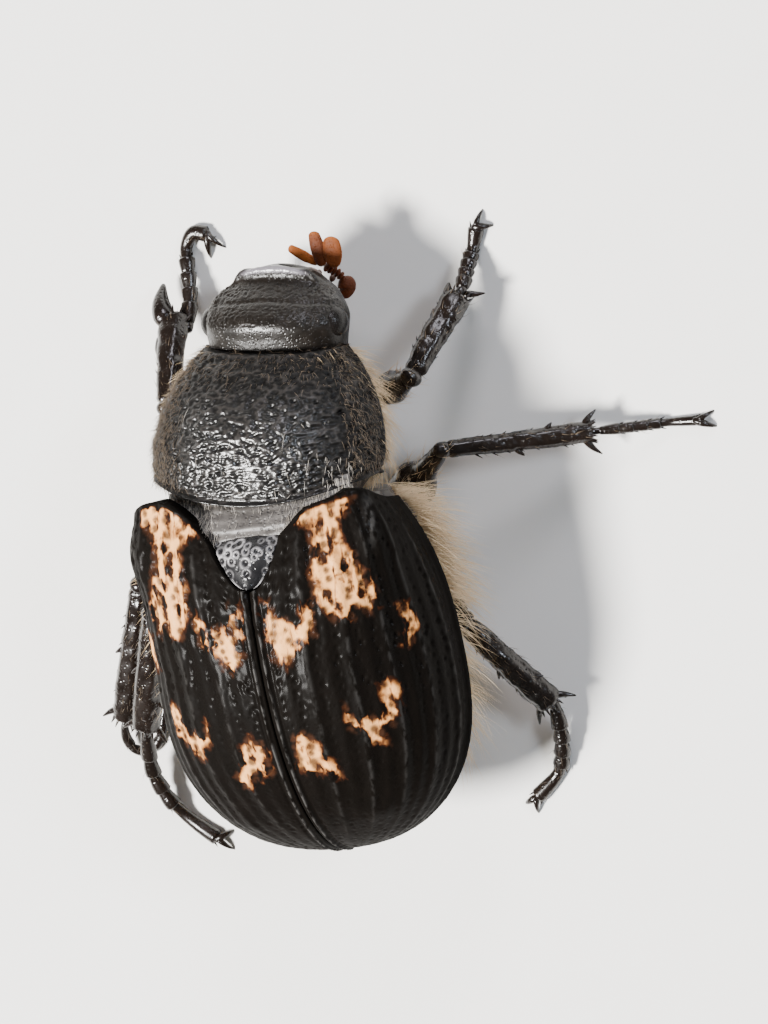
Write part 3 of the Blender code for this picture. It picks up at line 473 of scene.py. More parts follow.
def wall(outer, inner, tip, marks):
    """A closed shell between two grids of points; with tip the last row of each is one point."""
    rows, columns = outer.shape[:2]
    index = np.arange(rows * columns).reshape(rows, columns)
    if tip:
        index[-1, :] = index[-1, 0]
    under = rows * columns
    u, v = np.meshgrid(np.linspace(0.0, 1.0, columns), np.linspace(0.0, 1.0, rows))
    quads = np.stack([index[:-1, :-1], index[:-1, 1:], index[1:, 1:], index[1:, :-1]], axis=-1)
    flat = np.stack([u, v], axis=-1)
    corner_uvs = np.stack([flat[:-1, :-1], flat[:-1, 1:], flat[1:, 1:], flat[1:, :-1]], axis=2)
    stop = rows - 2 if tip else rows - 1
    body, body_uvs = quads[:stop].reshape(-1, 4), corner_uvs[:stop].reshape(-1, 4, 2)
    last, last_uvs = quads[stop:].reshape(-1, 4), corner_uvs[stop:].reshape(-1, 4, 2)
    far_edge = [] if tip else index[-1, -2::-1]
    border = np.concatenate([index[0, :], index[1:, -1], far_edge, index[-2:0:-1, 0]]).astype(int)
    following = np.roll(border, -1)
    rim = np.stack([following, border, border + under, following + under], axis=-1)
    rim_u = np.linspace(0.0, 1.0, len(border))
    rim_uvs = np.stack([np.stack([rim_u, np.full_like(rim_u, level)], axis=-1)
                        for level in (0.10, 0.10, 0.09, 0.09)], axis=1)

    def both(uvs, turned_uvs):
        return [uvs * [1.0, 1.0 - 0.12] + [0.0, 0.12], turned_uvs * [1.0, 0.08] + [0.0, 0.0]]

    return shape_from(
        np.concatenate([outer.reshape(-1, 3), inner.reshape(-1, 3)]),
        np.concatenate([body, body[:, ::-1] + under, rim]),
        np.concatenate([last[:, :3], last[:, 2::-1] + under]),
        np.concatenate([*both(body_uvs, body_uvs[:, ::-1]), rim_uvs]),
        np.concatenate(both(last_uvs[:, :3], last_uvs[:, 2::-1])),
        {name: np.concatenate([value.reshape(under, -1)] * 2) for name, value in marks.items()})


def merged(shapes):
    """Several shapes as one, each with its own cell of the flat map."""
    cells = math.ceil(math.sqrt(len(shapes)))
    widths = {name: mark.shape[1] for shape in shapes for name, mark in shape["marks"].items()}
    parts = {key: [] for key in ("points", "quads", "triangles", "quad_uvs", "triangle_uvs")}
    marks = {name: [] for name in widths}
    start = 0
    for place, shape in enumerate(shapes):
        corner = np.array([place % cells, place // cells])
        parts["points"].append(shape["points"])
        for key in ("quads", "triangles"):
            uvs = key[:-1] + "_uvs"
            parts[key].append(shape[key] + start)
            parts[uvs].append((shape[uvs] * 0.94 + 0.03 + corner) / cells)
        for name in widths:
            blank = np.zeros((len(shape["points"]), widths[name]))
            marks[name].append(shape["marks"].get(name, blank))
        start += len(shape["points"])
    joined = {key: np.concatenate(value) for key, value in parts.items()}
    joined["marks"] = {name: np.concatenate(value) for name, value in marks.items()}
    return joined


def piece(name, shape, finish, nodes=()):
    """The mesh object of a shape, riding on the body and standing for its solids."""
    mesh = bpy.data.meshes.new(name)
    mesh.from_pydata(to_frame(shape["points"]).tolist(), [],
                     shape["quads"].tolist() + shape["triangles"].tolist())
    flat = mesh.uv_layers.new(name="OFBake")
    uvs = np.concatenate([shape["quad_uvs"].reshape(-1, 2), shape["triangle_uvs"].reshape(-1, 2)])
    flat.data.foreach_set("uv", uvs.astype(np.float32).ravel())
    for mark, values in shape["marks"].items():
        vector = values.shape[1] == 3
        attribute = mesh.attributes.new(mark, "FLOAT_VECTOR" if vector else "FLOAT", "POINT")
        attribute.data.foreach_set("vector" if vector else "value",
                                   values.astype(np.float32).ravel())
    mesh.shade_smooth()
    mesh.materials.append(finish)
    made = mesh_object(name, mesh)
    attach(made, "root")
    if nodes:
        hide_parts(*nodes)
    return made


def horn(name, dark, light_tone, roughness, blotch=3.0, pores=(14.0, 0.35), grain=0.3, gloss=0.5,
         coat=0.0):
    """Insect horn: tone in soft blotches, fine pores and grain, and gloss that varies a little."""
    look = Finish(name)
    blotches = look.noise(look.place, blotch, 4.0)
    look.tone = look.mix(blotches, dark, light_tone)
    cells = look.add("ShaderNodeTexVoronoi", {"Vector": look.place, "Scale": pores[0]})
    pore = look.bump(look.ranged(cells.outputs["Distance"], 0.1, 0.42), pores[1], PORE_DEPTH)
    fine = look.noise(look.place, GRAINS_PER_MM, 3.0)
    rough = look.ranged(blotches, 0.3, 0.7, roughness - 0.06, roughness + 0.08, "LINEAR")
    look.wear({"Base Color": look.tone, "Normal": look.bump(fine, grain, GRAIN_DEPTH, pore),
               "Roughness": rough, "Specular IOR Level": gloss, "Coat Weight": coat,
               "Coat Roughness": 0.18})
    return look


def tipped_horn(name, dark, light_tone, tip, roughness, polish=0.0, **sizes):
    """Horn that turns to the colour tip where its tint mark rises, and is polished with `shine`.
    The tip is the feelers' own orange, and a painted highlight on the shields and the head.
    """
    look = horn(name, dark, light_tone, roughness, **sizes)
    look.wear({"Base Color": look.mix(look.mark("gleam"), look.tone, tip)})
    if polish:
        look.wear({"Coat Weight": look.number("MULTIPLY", look.mark("shine"), polish),
                   "Coat Normal": look.shader.inputs["Normal"].links[0].from_socket,
                   "Coat Roughness": 0.24})
    return look.material


def wing_case_finish():
    """Black horn that turns rust, tan and cream where the mark `pale` rises, with dark hollows and
    painted highlight lines along the crests.
    """
    look = horn("wing_case_horn", HORN_BLACK, HORN_BROWN_BLACK, 0.58, pores=(11.0, 0.15),
                grain=0.2, gloss=0.02, coat=0.022)

    def stretched(along):
        return look.vector("MULTIPLY", look.metres, (1.0 / MM, along / MM, 1.0 / MM))

    ragged = look.ranged(look.noise(stretched(0.8), 6.0, 3.0), 0.30, 0.70, -0.15, 0.15)
    bend = look.noise(stretched(1.0), 7.0, output="Color")
    bend = look.vector("MULTIPLY", bend, (HOLLOW_BEND, HOLLOW_BEND, HOLLOW_BEND))
    cells = look.add("ShaderNodeTexVoronoi", {"Vector": look.vector("ADD", stretched(0.62), bend),
                                              "Scale": HOLLOWS_PER_MM})
    chosen = look.add("ShaderNodeSeparateColor", {"Color": cells.outputs["Color"]}).outputs["Red"]
    hollow = look.number("MULTIPLY", look.ranged(cells.outputs["Distance"], 0.14, 0.58, 1.0, 0.0),
                         look.ranged(chosen, 0.05, 0.35, 0.40, 1.0))
    hollow = look.number("MULTIPLY", hollow, look.number("MULTIPLY", look.mark("holed"), 1.2))
    streak = look.ranged(look.noise(stretched(0.16), 13.0), 0.52, 0.68, 0.0, 0.35)
    cloudy = look.ranged(look.noise(stretched(0.6), 3.2), 0.45, 0.70, 0.0, 0.22)
    level = look.number("ADD", look.mark("pale"), ragged)
    for dark_part in (hollow, streak, cloudy):
        level = look.number("SUBTRACT", level, dark_part)
    ramp = look.add("ShaderNodeValToRGB", {"Fac": level})
    while len(ramp.color_ramp.elements) < len(PATCH_STOPS):
        ramp.color_ramp.elements.new(0.5)
    for element, (stop, colour) in zip(ramp.color_ramp.elements, PATCH_STOPS):
        element.position = stop
        element.color = (*colour, 1.0)
    # Painted highlight: the crest mark, broken up by noise, lays light grey over the black horn.
    glint_patches = look.number("MULTIPLY", look.mark("crest"),
                       look.ranged(look.noise(stretched(0.5), 9.0, 3.0), 0.40, 0.62))
    patched = look.mix(look.ranged(level, 0.08, 0.30), look.mix(glint_patches, look.tone, PAINTED_GLINT_GREY),
                       ramp.outputs["Color"])
    stain = look.number("MULTIPLY", look.mark("pit"), 0.85)
    return look.wear({"Base Color": look.mix(stain, patched, PIT_BROWN)})


def wing_case(side, seed):
    """One wing case with its relief and its pale marks."""
    rows, columns = CASE_ROWS, CASE_COLUMNS
    shares = even_shares(columns)
    outer, travel = case_grid(shares, rows, 0.0, side)
    inner, _ = case_grid(shares, rows, CASE_WALL, side)
    y = outer[..., 1]
    arc = case_arc(shares, y)
    fade = np.minimum(1.0, np.minimum(4.0 * (1.0 - travel), 0.25 + 5.0 * travel))
    lift = np.zeros((rows, columns))
    # The crest mark is a painted highlight: lines along the seam ridge and the rib crests, and a
    # streak on the shoulder.
    crest = 1.6 * bell((arc - 0.088) / 0.016)
    for share in RIB_SHARES:
        lift += RIB_HEIGHT * fade * bell((shares - share) / RIB_WIDTH)[None, :]
        crest += 0.4 * fade * bell((shares - share) / PAINTED_GLINT_WIDTH)[None, :]
    for share in LOW_RIB_SHARES:
        lift += LOW_RIB_HEIGHT * fade * bell((shares - share) / LOW_RIB_WIDTH)[None, :]
    lift += SHOULDER_BUMP * (bell((shares[None, :] - BUMP_SHARE) / BUMP_SHARE_WIDTH)
                             * bell((y - BUMP_Y) / BUMP_LENGTH))
    crest = crest + 1.2 * bell((arc - 2.12) / 0.07) * bell((y + 0.62) / 0.30)
    lift += APEX_BUMP * bell((shares[None, :] - 0.40) / 0.12) * bell((y - APEX_BUMP_Y) / 0.22)
    lift += folds(arc, SEAM_FOLDS)
    lift += fade * folds(arc[:, -1:] - arc, EDGE_FOLDS)
    front_disc = smooth((1.8 - y) / 1.2) * smooth((2.0 - arc) / 1.0)
    lift += (0.003 + 0.010 * front_disc) * cloud(arc, y, 0.085, seed)
    pits = np.zeros((rows, columns))
    draw = np.random.default_rng(seed + 40)
    steps = np.linalg.norm(np.diff(outer[:, 70], axis=0), axis=-1)
    row_length = np.concatenate([[0.0], np.cumsum(steps)])
    for place, share in enumerate(PIT_ROW_SHARES):
        column = int(np.argmin(np.abs(shares - share)))
        travelled = 0.10 + 0.07 * (place % 2)
        while travelled < row_length[-1] - 0.25:
            row = int(np.argmin(np.abs(row_length - travelled)))
            aside = int(round(draw.normal(0.0, 1.5)))
            crowd = 0.30 + 0.70 * float(smooth((2.9 - y[row, column]) / 1.8))
            stamp(lift, pits, outer, (row, int(np.clip(column + aside, 2, columns - 3))),
                  PIT_RADIUS * draw.uniform(0.6, 1.2), PIT_DEPTH * crowd * draw.uniform(0.4, 1.2))
            travelled += PIT_PITCH * draw.uniform(0.6, 1.5)
    pale = np.full((rows, columns), -1.0)
    wander = 0.045 * cloud(arc + 3.0 * side, y, 0.13, seed + 1)
    wander = wander + 0.03 * cloud(arc, y, 0.05, seed + 2)
    aside = 0.10 * max(side, 0) * smooth(-y / 0.6)
    for outline in PATCHES:
        pale = np.maximum(pale, inside_distance(outline, arc + wander + aside, y + wander))
    softness = np.where(pale > 0.0, PATCH_SOFT_INSIDE, PATCH_SOFT_OUTSIDE)
    pale = np.clip(0.50 + pale / softness, -0.3, 1.05)
    # The mark pale is the cream patches. Along the front edge of each case it is lowered into
    # painted shade, a thin dark band under the edge of the large shield.
    pale -= 0.9 * smooth(1.2 - (y - case_base(outer[..., 0], side)) / 0.075)
    shape = outer + away(outer, CASE_MIDDLE) * lift[..., None]
    flip = np.array([side, 1.0, 1.0])
    marks = {"pale": pale, "pit": pits * smooth(pale * 3.0 - 0.4), "crest": crest,
             "holed": 0.46 + 0.12 * side + 0.34 * smooth((y + 0.80) / 0.7)}
    return wall(shape * flip, inner * flip, True, marks)


case_horn = wing_case_finish()
piece("wing_case_left", wing_case(1, 11), case_horn, ["elytron_left"])
piece("wing_case_right", wing_case(-1, 12), case_horn, ["elytron_right"])


# Small shield
# The scutellum, a flat tongue of pitted horn between the wing-case bases. In front of it lies
# the hairy saddle of the middle back, which shows as a grey band behind the large shield.
TONGUE_FRONT_Y = -0.60
TONGUE_TIP_GAP = 0.02
SADDLE_FRONT_Y, SADDLE_REAR_Y = -1.34, -0.34
TONGUE_GREY = (0.004, 0.004, 0.0045)
TONGUE_LIGHT = (0.012, 0.0115, 0.0125)
# Painted highlight colour for the rims of the pits and the edge at the tip.
TONGUE_PAINTED_GLINT = (0.36, 0.345, 0.35)
TONGUE_PIT_ROWS = ((0.07, 8), (0.17, 7), (0.29, 5), (0.47, 3))
TONGUE_PIT_RADIUS = 0.060
TONGUE_PIT_DEPTH = 0.028
TONGUE_ROWS, TONGUE_COLUMNS = 80, 70
TONGUE_THICKNESS, SADDLE_THICKNESS = 0.18, 0.12
SADDLE_ROWS, SADDLE_COLUMNS = 40, 110
SADDLE_REACH = math.radians(55.0)
SADDLE_BEND = 2.0 / 2.9
SADDLE_FOLD_PITCH, SADDLE_FOLD_DEPTH = 0.13, 0.017
SADDLE_GREY = (0.012, 0.0105, 0.010)
SADDLE_LIGHT = (0.13, 0.118, 0.108)


def squared(value, power):
    """Sines or cosines bent towards a square cross-section."""
    return np.sign(value) * np.abs(value) ** power


def lie_along(grid):
    """Unit directions in which the rows of a grid run."""
    return unit(np.gradient(grid, axis=0))


def tongue():
    rows, columns = TONGUE_ROWS, TONGUE_COLUMNS
    share = np.linspace(-1.0, 1.0, columns)[None, :]
    travel = np.sin(math.pi / 2.0 * np.linspace(0.0, 1.0, rows))[:, None]
    front_y, tip_y = TONGUE_FRONT_Y, NOTCH_TIP_Y - 0.05
    y = front_y + (tip_y - front_y) * travel
    reach = np.clip((NOTCH_TIP_Y - 0.035 - y) / (NOTCH_LENGTH - 0.06), 0.0, 1.0) ** (1.0 / 2.4)
    half = np.maximum(NOTCH_HALF * reach - 1.3 * TONGUE_TIP_GAP, 0.0)
    half[-1] = 0.0
    fore = np.clip((-0.35 - y) / 0.25, 0.0, 1.0)
    z = case_margin(y) + case_vault(y) - 0.16 * fore ** 2 - 0.10 * share ** 2
    grid = np.stack([half * share, y + 0.0 * share, z], axis=-1)
    lift = 0.03 * bell((np.abs(share) - 0.9) / 0.07) * smooth((y + 0.6) / 0.3)
    lift = lift + 0.05 * (1.0 - share ** 2) * smooth((y + 0.60) / 0.2)
    pits = np.zeros((rows, columns))
    draw = np.random.default_rng(5)
    for depth, count in TONGUE_PIT_ROWS:
        for place in np.linspace(-0.84, 0.84, count):
            row = int((depth + draw.uniform(-0.04, 0.04)) * rows)
            column = int((0.5 + 0.5 * place) * (columns - 1) + draw.uniform(-3.0, 3.0))
            stamp(lift, pits, grid, (max(row, 2), int(np.clip(column, 2, columns - 3))),
                  TONGUE_PIT_RADIUS * draw.uniform(0.65, 1.25), TONGUE_PIT_DEPTH)
    top = grid + np.array([0.0, 0.0, 1.0]) * lift[..., None]
    under = grid * np.array([0.94, 1.0, 1.0]) - np.array([0.0, 0.0, TONGUE_THICKNESS])
    # Painted highlight: the rims of the pits, strongest at the front and in random patches, and the
    # side edges near the tip are painted silver.
    glint_patches = 0.65 + 0.55 * cloud(grid[..., 0] + 4.0, grid[..., 1] + 4.0, 0.11, 6)
    rings = 4.0 * pits * (1.0 - pits) * smooth((0.12 - y) / 0.60) * np.clip(glint_patches, 0.0, 1.0)
    edge = 0.8 * bell((np.abs(share) - 0.88) / 0.06) * smooth((y - 0.02) / 0.10)
    marks = {"lie": lie_along(grid), "gleam": np.maximum(rings, edge)}
    return wall(top, under, True, marks)


def saddle():
    y = np.linspace(SADDLE_FRONT_Y, SADDLE_REAR_Y, SADDLE_ROWS)[:, None]
    angle = np.linspace(0.5 * math.pi + SADDLE_REACH, 0.5 * math.pi - SADDLE_REACH,
                        SADDLE_COLUMNS)[None, :]
    drop = 0.17 + 0.30 * smooth((-0.70 - y) / 0.50)
    half = case_half_width(y) - 0.34
    z = case_margin(y) + (case_vault(y) - drop) * squared(np.sin(angle), SADDLE_BEND)
    grid = np.stack([half * squared(np.cos(angle), SADDLE_BEND), y + 0.0 * angle, z], axis=-1)
    lift = 0.012 * cloud(grid[..., 0], grid[..., 1] + 9.0, 0.09, 8)
    fold = y / SADDLE_FOLD_PITCH + 0.35 * cloud(grid[..., 0] + 6.0, y + 9.0, 0.30, 9)
    depth = 0.6 + 0.4 * cloud(grid[..., 0], y + 9.0, 0.2, 7)
    lift += SADDLE_FOLD_DEPTH * np.sin(2.0 * math.pi * fold) * depth
    top = grid + np.array([0.0, 0.0, 1.0]) * lift[..., None]
    under = grid - np.array([0.0, 0.0, SADDLE_THICKNESS])
    thick = 0.08 + 0.92 * smooth((np.abs(grid[..., 0]) - 0.52) / 0.25)
    return wall(top, under, False, {"lie": lie_along(grid), "hair": thick})


tongue_horn = tipped_horn("tongue_horn", TONGUE_GREY, TONGUE_LIGHT, TONGUE_PAINTED_GLINT, 0.30,
                          blotch=4.0, pores=(12.0, 0.5), grain=0.3, gloss=0.35)
saddle_horn = horn("saddle_horn", SADDLE_GREY, SADDLE_LIGHT, 0.45, blotch=5.0, pores=(14.0, 0.6),
                   grain=0.5, gloss=0.5).material
piece("scutellum_tongue", tongue(), tongue_horn, ["scutellum"])
saddle_piece = piece("middle_back_saddle", saddle(), saddle_horn)


# Large shield
# The pronotum, one domed plate of grey-black horn over the fore body. It is thickly pitted, has a
# thin raised rim along its base and sides, and is turned a little to the beetle's right.
SHIELD_HALF_WIDTH = 2.0
SHIELD_FRONT_Y = -3.36
SHIELD_WIDEST_Y = -1.55
SHIELD_NARROWS_Y = -2.1
SHIELD_NARROWING = 0.14
SHIELD_FRONT_REACH, SHIELD_REAR_REACH = 2.31, 0.9
SHIELD_MARGIN_Z, SHIELD_MARGIN_SLOPE = 2.10, 0.30
SHIELD_VAULT, SHIELD_CROWN, SHIELD_REAR_RISE = 0.78, 0.52, 0.22
SHIELD_VAULT_LENGTH = 2.4
SHIELD_BEND = 2.0 / 2.2
SHIELD_ROWS, SHIELD_COLUMNS = 170, 260
SHIELD_WALL = 0.22
FORE_PIVOT_Y = -1.05
FORE_SHIFT_X = 0.12
SHIELD_PIT_RADIUS = 0.046
SHIELD_PIT_DEPTH = 0.014
SHIELD_PITS = 2600
SHIELD_PIT_WIDE = 1.6
SHIELD_MIDDLE = (0.0, -2.2, 1.8)
SHIELD_BLACK = (0.0018, 0.0016, 0.0014)
SHIELD_GREY = (0.0046, 0.0040, 0.0036)
# Painted highlight colour for the rims of the pits.
SHIELD_PAINTED_GLINT = (0.020, 0.0175, 0.016)

# Ridges and grooves along the base and front, by the share of the way back, and along the sides,
# by the count of columns from the edge.
BASE_FOLDS = ((0.045, 0.985, 0.012), (-0.03, 0.955, 0.014), (0.02, 0.01, 0.012),
              (-0.035, 0.0, 0.006), (-0.035, 1.0, 0.006))
SIDE_FOLDS = ((0.03, 3.0, 2.5), (-0.02, 8.0, 3.0))


def turned(points):
    """Points of the fore body, turned with it."""
    points = np.array(points, float)
    x, y = points[..., 0].copy(), points[..., 1] - FORE_PIVOT_Y
    points[..., 0] = FORE_SHIFT_X + x * math.cos(FORE_TURN) - y * math.sin(FORE_TURN)
    points[..., 1] = x * math.sin(FORE_TURN) + y * math.cos(FORE_TURN) + FORE_PIVOT_Y
    return points


def turned_shape(shape):
    """A whole shape of the fore body, turned with it."""
    shape["points"] = turned(shape["points"])
    if "lie" in shape["marks"]:
        lie = shape["marks"]["lie"]
        shape["marks"]["lie"] = turned(lie) - turned(np.zeros_like(lie))
    return shape


def shield_half_width(y, inset=0.0):
    front = np.clip((SHIELD_WIDEST_Y - y) / SHIELD_FRONT_REACH, 0.0, 0.99)
    rear = np.clip((y - SHIELD_NARROWS_Y) / SHIELD_REAR_REACH, 0.0, 1.0)
    return SHIELD_HALF_WIDTH * np.sqrt(1.0 - front ** 2) - SHIELD_NARROWING * rear ** 2 - inset


def shield_margin(y):
    return SHIELD_MARGIN_Z + SHIELD_MARGIN_SLOPE * (y - SHIELD_FRONT_Y)


def shield_vault(y, inset=0.0):
    share = np.clip((y - SHIELD_FRONT_Y) / SHIELD_VAULT_LENGTH, 0.0, 1.0)
    return (SHIELD_VAULT + SHIELD_CROWN * np.sin(math.pi * share ** 0.85)
            + SHIELD_REAR_RISE * share - inset)


def shield_grid(inset):
    angle = np.linspace(math.pi, 0.0, SHIELD_COLUMNS)
    travel = np.linspace(0.0, 1.0, SHIELD_ROWS)[:, None]
    across = squared(np.cos(angle), SHIELD_BEND)
    share = np.abs(across)
    base_y = SHIELD_BASE_Y + (SHIELD_CORNER_Y - SHIELD_BASE_Y) * share ** 2
    front_y = SHIELD_FRONT_Y - 0.04 * share ** 3
    y = front_y + (base_y - front_y) * travel
    x = shield_half_width(y, inset) * across
    z = shield_margin(y) + shield_vault(y, inset) * squared(np.sin(angle), SHIELD_BEND)
    return np.stack([x, y, z], axis=-1)


def large_shield():
    rows, columns = SHIELD_ROWS, SHIELD_COLUMNS
    outer, inner = shield_grid(0.0), shield_grid(SHIELD_WALL)
    x, y = outer[..., 0], outer[..., 1]
    travel = np.linspace(0.0, 1.0, rows)[:, None]
    from_side = np.minimum(np.arange(columns), np.arange(columns)[::-1])[None, :]
    lift = folds(travel, BASE_FOLDS) + folds(from_side, SIDE_FOLDS)
    lift -= 0.05 * bell((np.abs(x) - 1.25) / 0.22) * bell((y + 2.25) / 0.16)
    lift -= (0.012 * bell(x / 0.05) * smooth((travel - 0.15) / 0.2)
             * smooth((0.9 - travel) / 0.2))
    lift += 0.006 * cloud(x + 5.0, y + 9.0, 0.16, 21)
    lift += 0.009 * cloud(x + 5.0, 1.7 * y + 9.0, 0.085, 23)
    pits = np.zeros((rows, columns))
    draw = np.random.default_rng(22)
    for _ in range(SHIELD_PITS):
        row, column = int(draw.uniform(5, rows - 9)), int(draw.uniform(5, columns - 5))
        size = draw.uniform(0.7, 1.2)
        stamp(lift, pits, outer, (row, column), SHIELD_PIT_RADIUS * size, SHIELD_PIT_DEPTH * size,
              SHIELD_PIT_WIDE)
    top = outer + away(outer, SHIELD_MIDDLE) * lift[..., None]
    sides = smooth((np.abs(x) / np.maximum(shield_half_width(y), 0.1) - 0.80) / 0.12)
    front = smooth((-2.75 - y) / 0.5)
    left = smooth((x - 0.9) / 0.6)
    corner = bell((x + 1.58) / 0.24) * bell((y + 1.66) / 0.16)
    shine = smooth((y + 2.95) / 0.9) * smooth((1.55 - np.abs(x + 0.1)) / 0.8)
    # Painted highlight: the rims of the pits are painted silver, fainter towards the beetle's left
    # edge.
    rim_glints = 4.0 * pits * (1.0 - pits) * (0.20 + 0.80 * smooth((1.45 - x) / 0.8))
    marks = {"lie": lie_along(outer), "corner": corner, "gleam": rim_glints, "shine": shine,
             "hair": np.clip(sides + 0.5 * front + 1.7 * left, 0.0, 2.2)}
    return turned_shape(wall(top, inner, False, marks))


shield_horn = tipped_horn("shield_horn", SHIELD_BLACK, SHIELD_GREY, SHIELD_PAINTED_GLINT, 0.46, polish=0.9,
                          blotch=2.2, pores=(12.0, 0.25), grain=0.25, gloss=0.13)
shield_piece = piece("large_shield", large_shield(), shield_horn, ["pronotum"])


# Head
# A broad box of pitted horn between the eyes, with a low shovel in front whose thin rim is turned
# up. A cross seam parts the shovel from the forehead.
RIM_BOW = 0.10
EYE_CENTRE = (1.04, -3.77, 2.18)
EYE_RADIUS = 0.28
HEAD_BLACK = (0.0014, 0.0012, 0.0010)
HEAD_LIGHT = (0.0100, 0.0070, 0.0048)
# Painted reflection: a light violet grey laid on the front rim of the shovel.
RIM_PAINTED_REFLECTION = (0.14, 0.128, 0.142)
HEAD_MIDDLE = (0.0, -3.9, 2.0)
HEAD_ROWS, HEAD_COLUMNS, RIM_ROWS = 124, 300, 7
HEAD_PITS = 1300
HEAD_PIT_RADIUS, HEAD_PIT_DEPTH, HEAD_PIT_WIDE = 0.030, 0.006, 1.2
FRONT_FOLDS = ((0.030, -4.61, 0.06), (-0.020, -4.44, 0.07))

# Each section of the head from its back forward: y, half-width, top and underside.
HEAD_SECTIONS = (
    (-3.20, 1.14, 2.66, 1.44), (-3.54, 1.18, 2.74, 1.40), (-3.72, 1.20, 2.78, 1.36),
    (-3.96, 1.17, 2.68, 1.36), (-4.16, 1.06, 2.48, 1.40), (-4.34, 0.94, 2.27, 1.48),
    (-4.48, 0.81, 2.15, 1.56), (-4.57, 0.71, 2.13, 1.62), (-4.64, 0.60, 2.12, 1.70),
)


def through(points, shares):
    """A smooth curve through points, taken at shares of its length."""
    points = np.asarray(points, float)
    knots = np.concatenate([[0.0], np.cumsum(np.linalg.norm(np.diff(points[:, :3], axis=0),
                                                            axis=1))])
    knots /= knots[-1]
    slopes = np.gradient(points, knots, axis=0)
    place = np.clip(np.searchsorted(knots, shares, side="right") - 1, 0, len(knots) - 2)
    span = (knots[place + 1] - knots[place])[:, None]
    t = (np.asarray(shares)[:, None] - knots[place][:, None]) / span
    return (points[place] * (2 * t ** 3 - 3 * t ** 2 + 1)
            + slopes[place] * span * (t ** 3 - 2 * t ** 2 + t)
            + points[place + 1] * (3 * t ** 2 - 2 * t ** 3)
            + slopes[place + 1] * span * (t ** 3 - t ** 2))


def circle(count):
    """Angles round a full circle."""
    return np.linspace(0.0, 2.0 * math.pi, count, endpoint=False)


def loft(grid, marks):
    """A closed shape through rings of points, with a centre point at each end."""
    rows, columns = grid.shape[:2]
    index = np.arange(rows * columns).reshape(rows, columns)
    following = np.roll(index, -1, axis=1)
    quads = np.stack([index[:-1], following[:-1], following[1:], index[1:]], axis=-1)
    u = np.arange(columns + 1) / columns
    v = np.linspace(0.04, 0.96, rows)
    left, low = np.meshgrid(u[:-1], v[:-1])
    right, high = np.meshgrid(u[1:], v[1:])
    quad_uvs = np.stack([np.stack(corner, -1) for corner in
                         ((left, low), (right, low), (right, high), (left, high))], axis=2)
    total = rows * columns
    ends = np.stack([grid[0].mean(axis=0), grid[-1].mean(axis=0)])
    caps = np.concatenate([
        np.stack([following[0], index[0], np.full(columns, total)], axis=-1),
        np.stack([index[-1], following[-1], np.full(columns, total + 1)], axis=-1)])
    middle = 0.5 * (u[:-1] + u[1:])
    cap_uvs = np.concatenate([
        np.stack([np.stack([across, np.full(columns, level)], -1) for across, level in corners],
                 axis=1)
        for corners in (((u[1:], 0.04), (u[:-1], 0.04), (middle, 0.0)),
                        ((u[:-1], 0.96), (u[1:], 0.96), (middle, 1.0)))])
    flat_marks = {}
    for name, value in marks.items():
        values = np.reshape(value, (rows, columns, -1))
        tips = np.stack([values[0].mean(axis=0), values[-1].mean(axis=0)])
        flat_marks[name] = np.concatenate([values.reshape(total, -1), tips])
    return shape_from(np.concatenate([grid.reshape(-1, 3), ends]), quads, caps, quad_uvs, cap_uvs,
                      flat_marks)


def ring_normals(grid, centre):
    """Unit normals of closed rings of points, away from a centre."""
    return away(np.concatenate([grid, grid[:, :1]], axis=1), centre)[:, :-1]


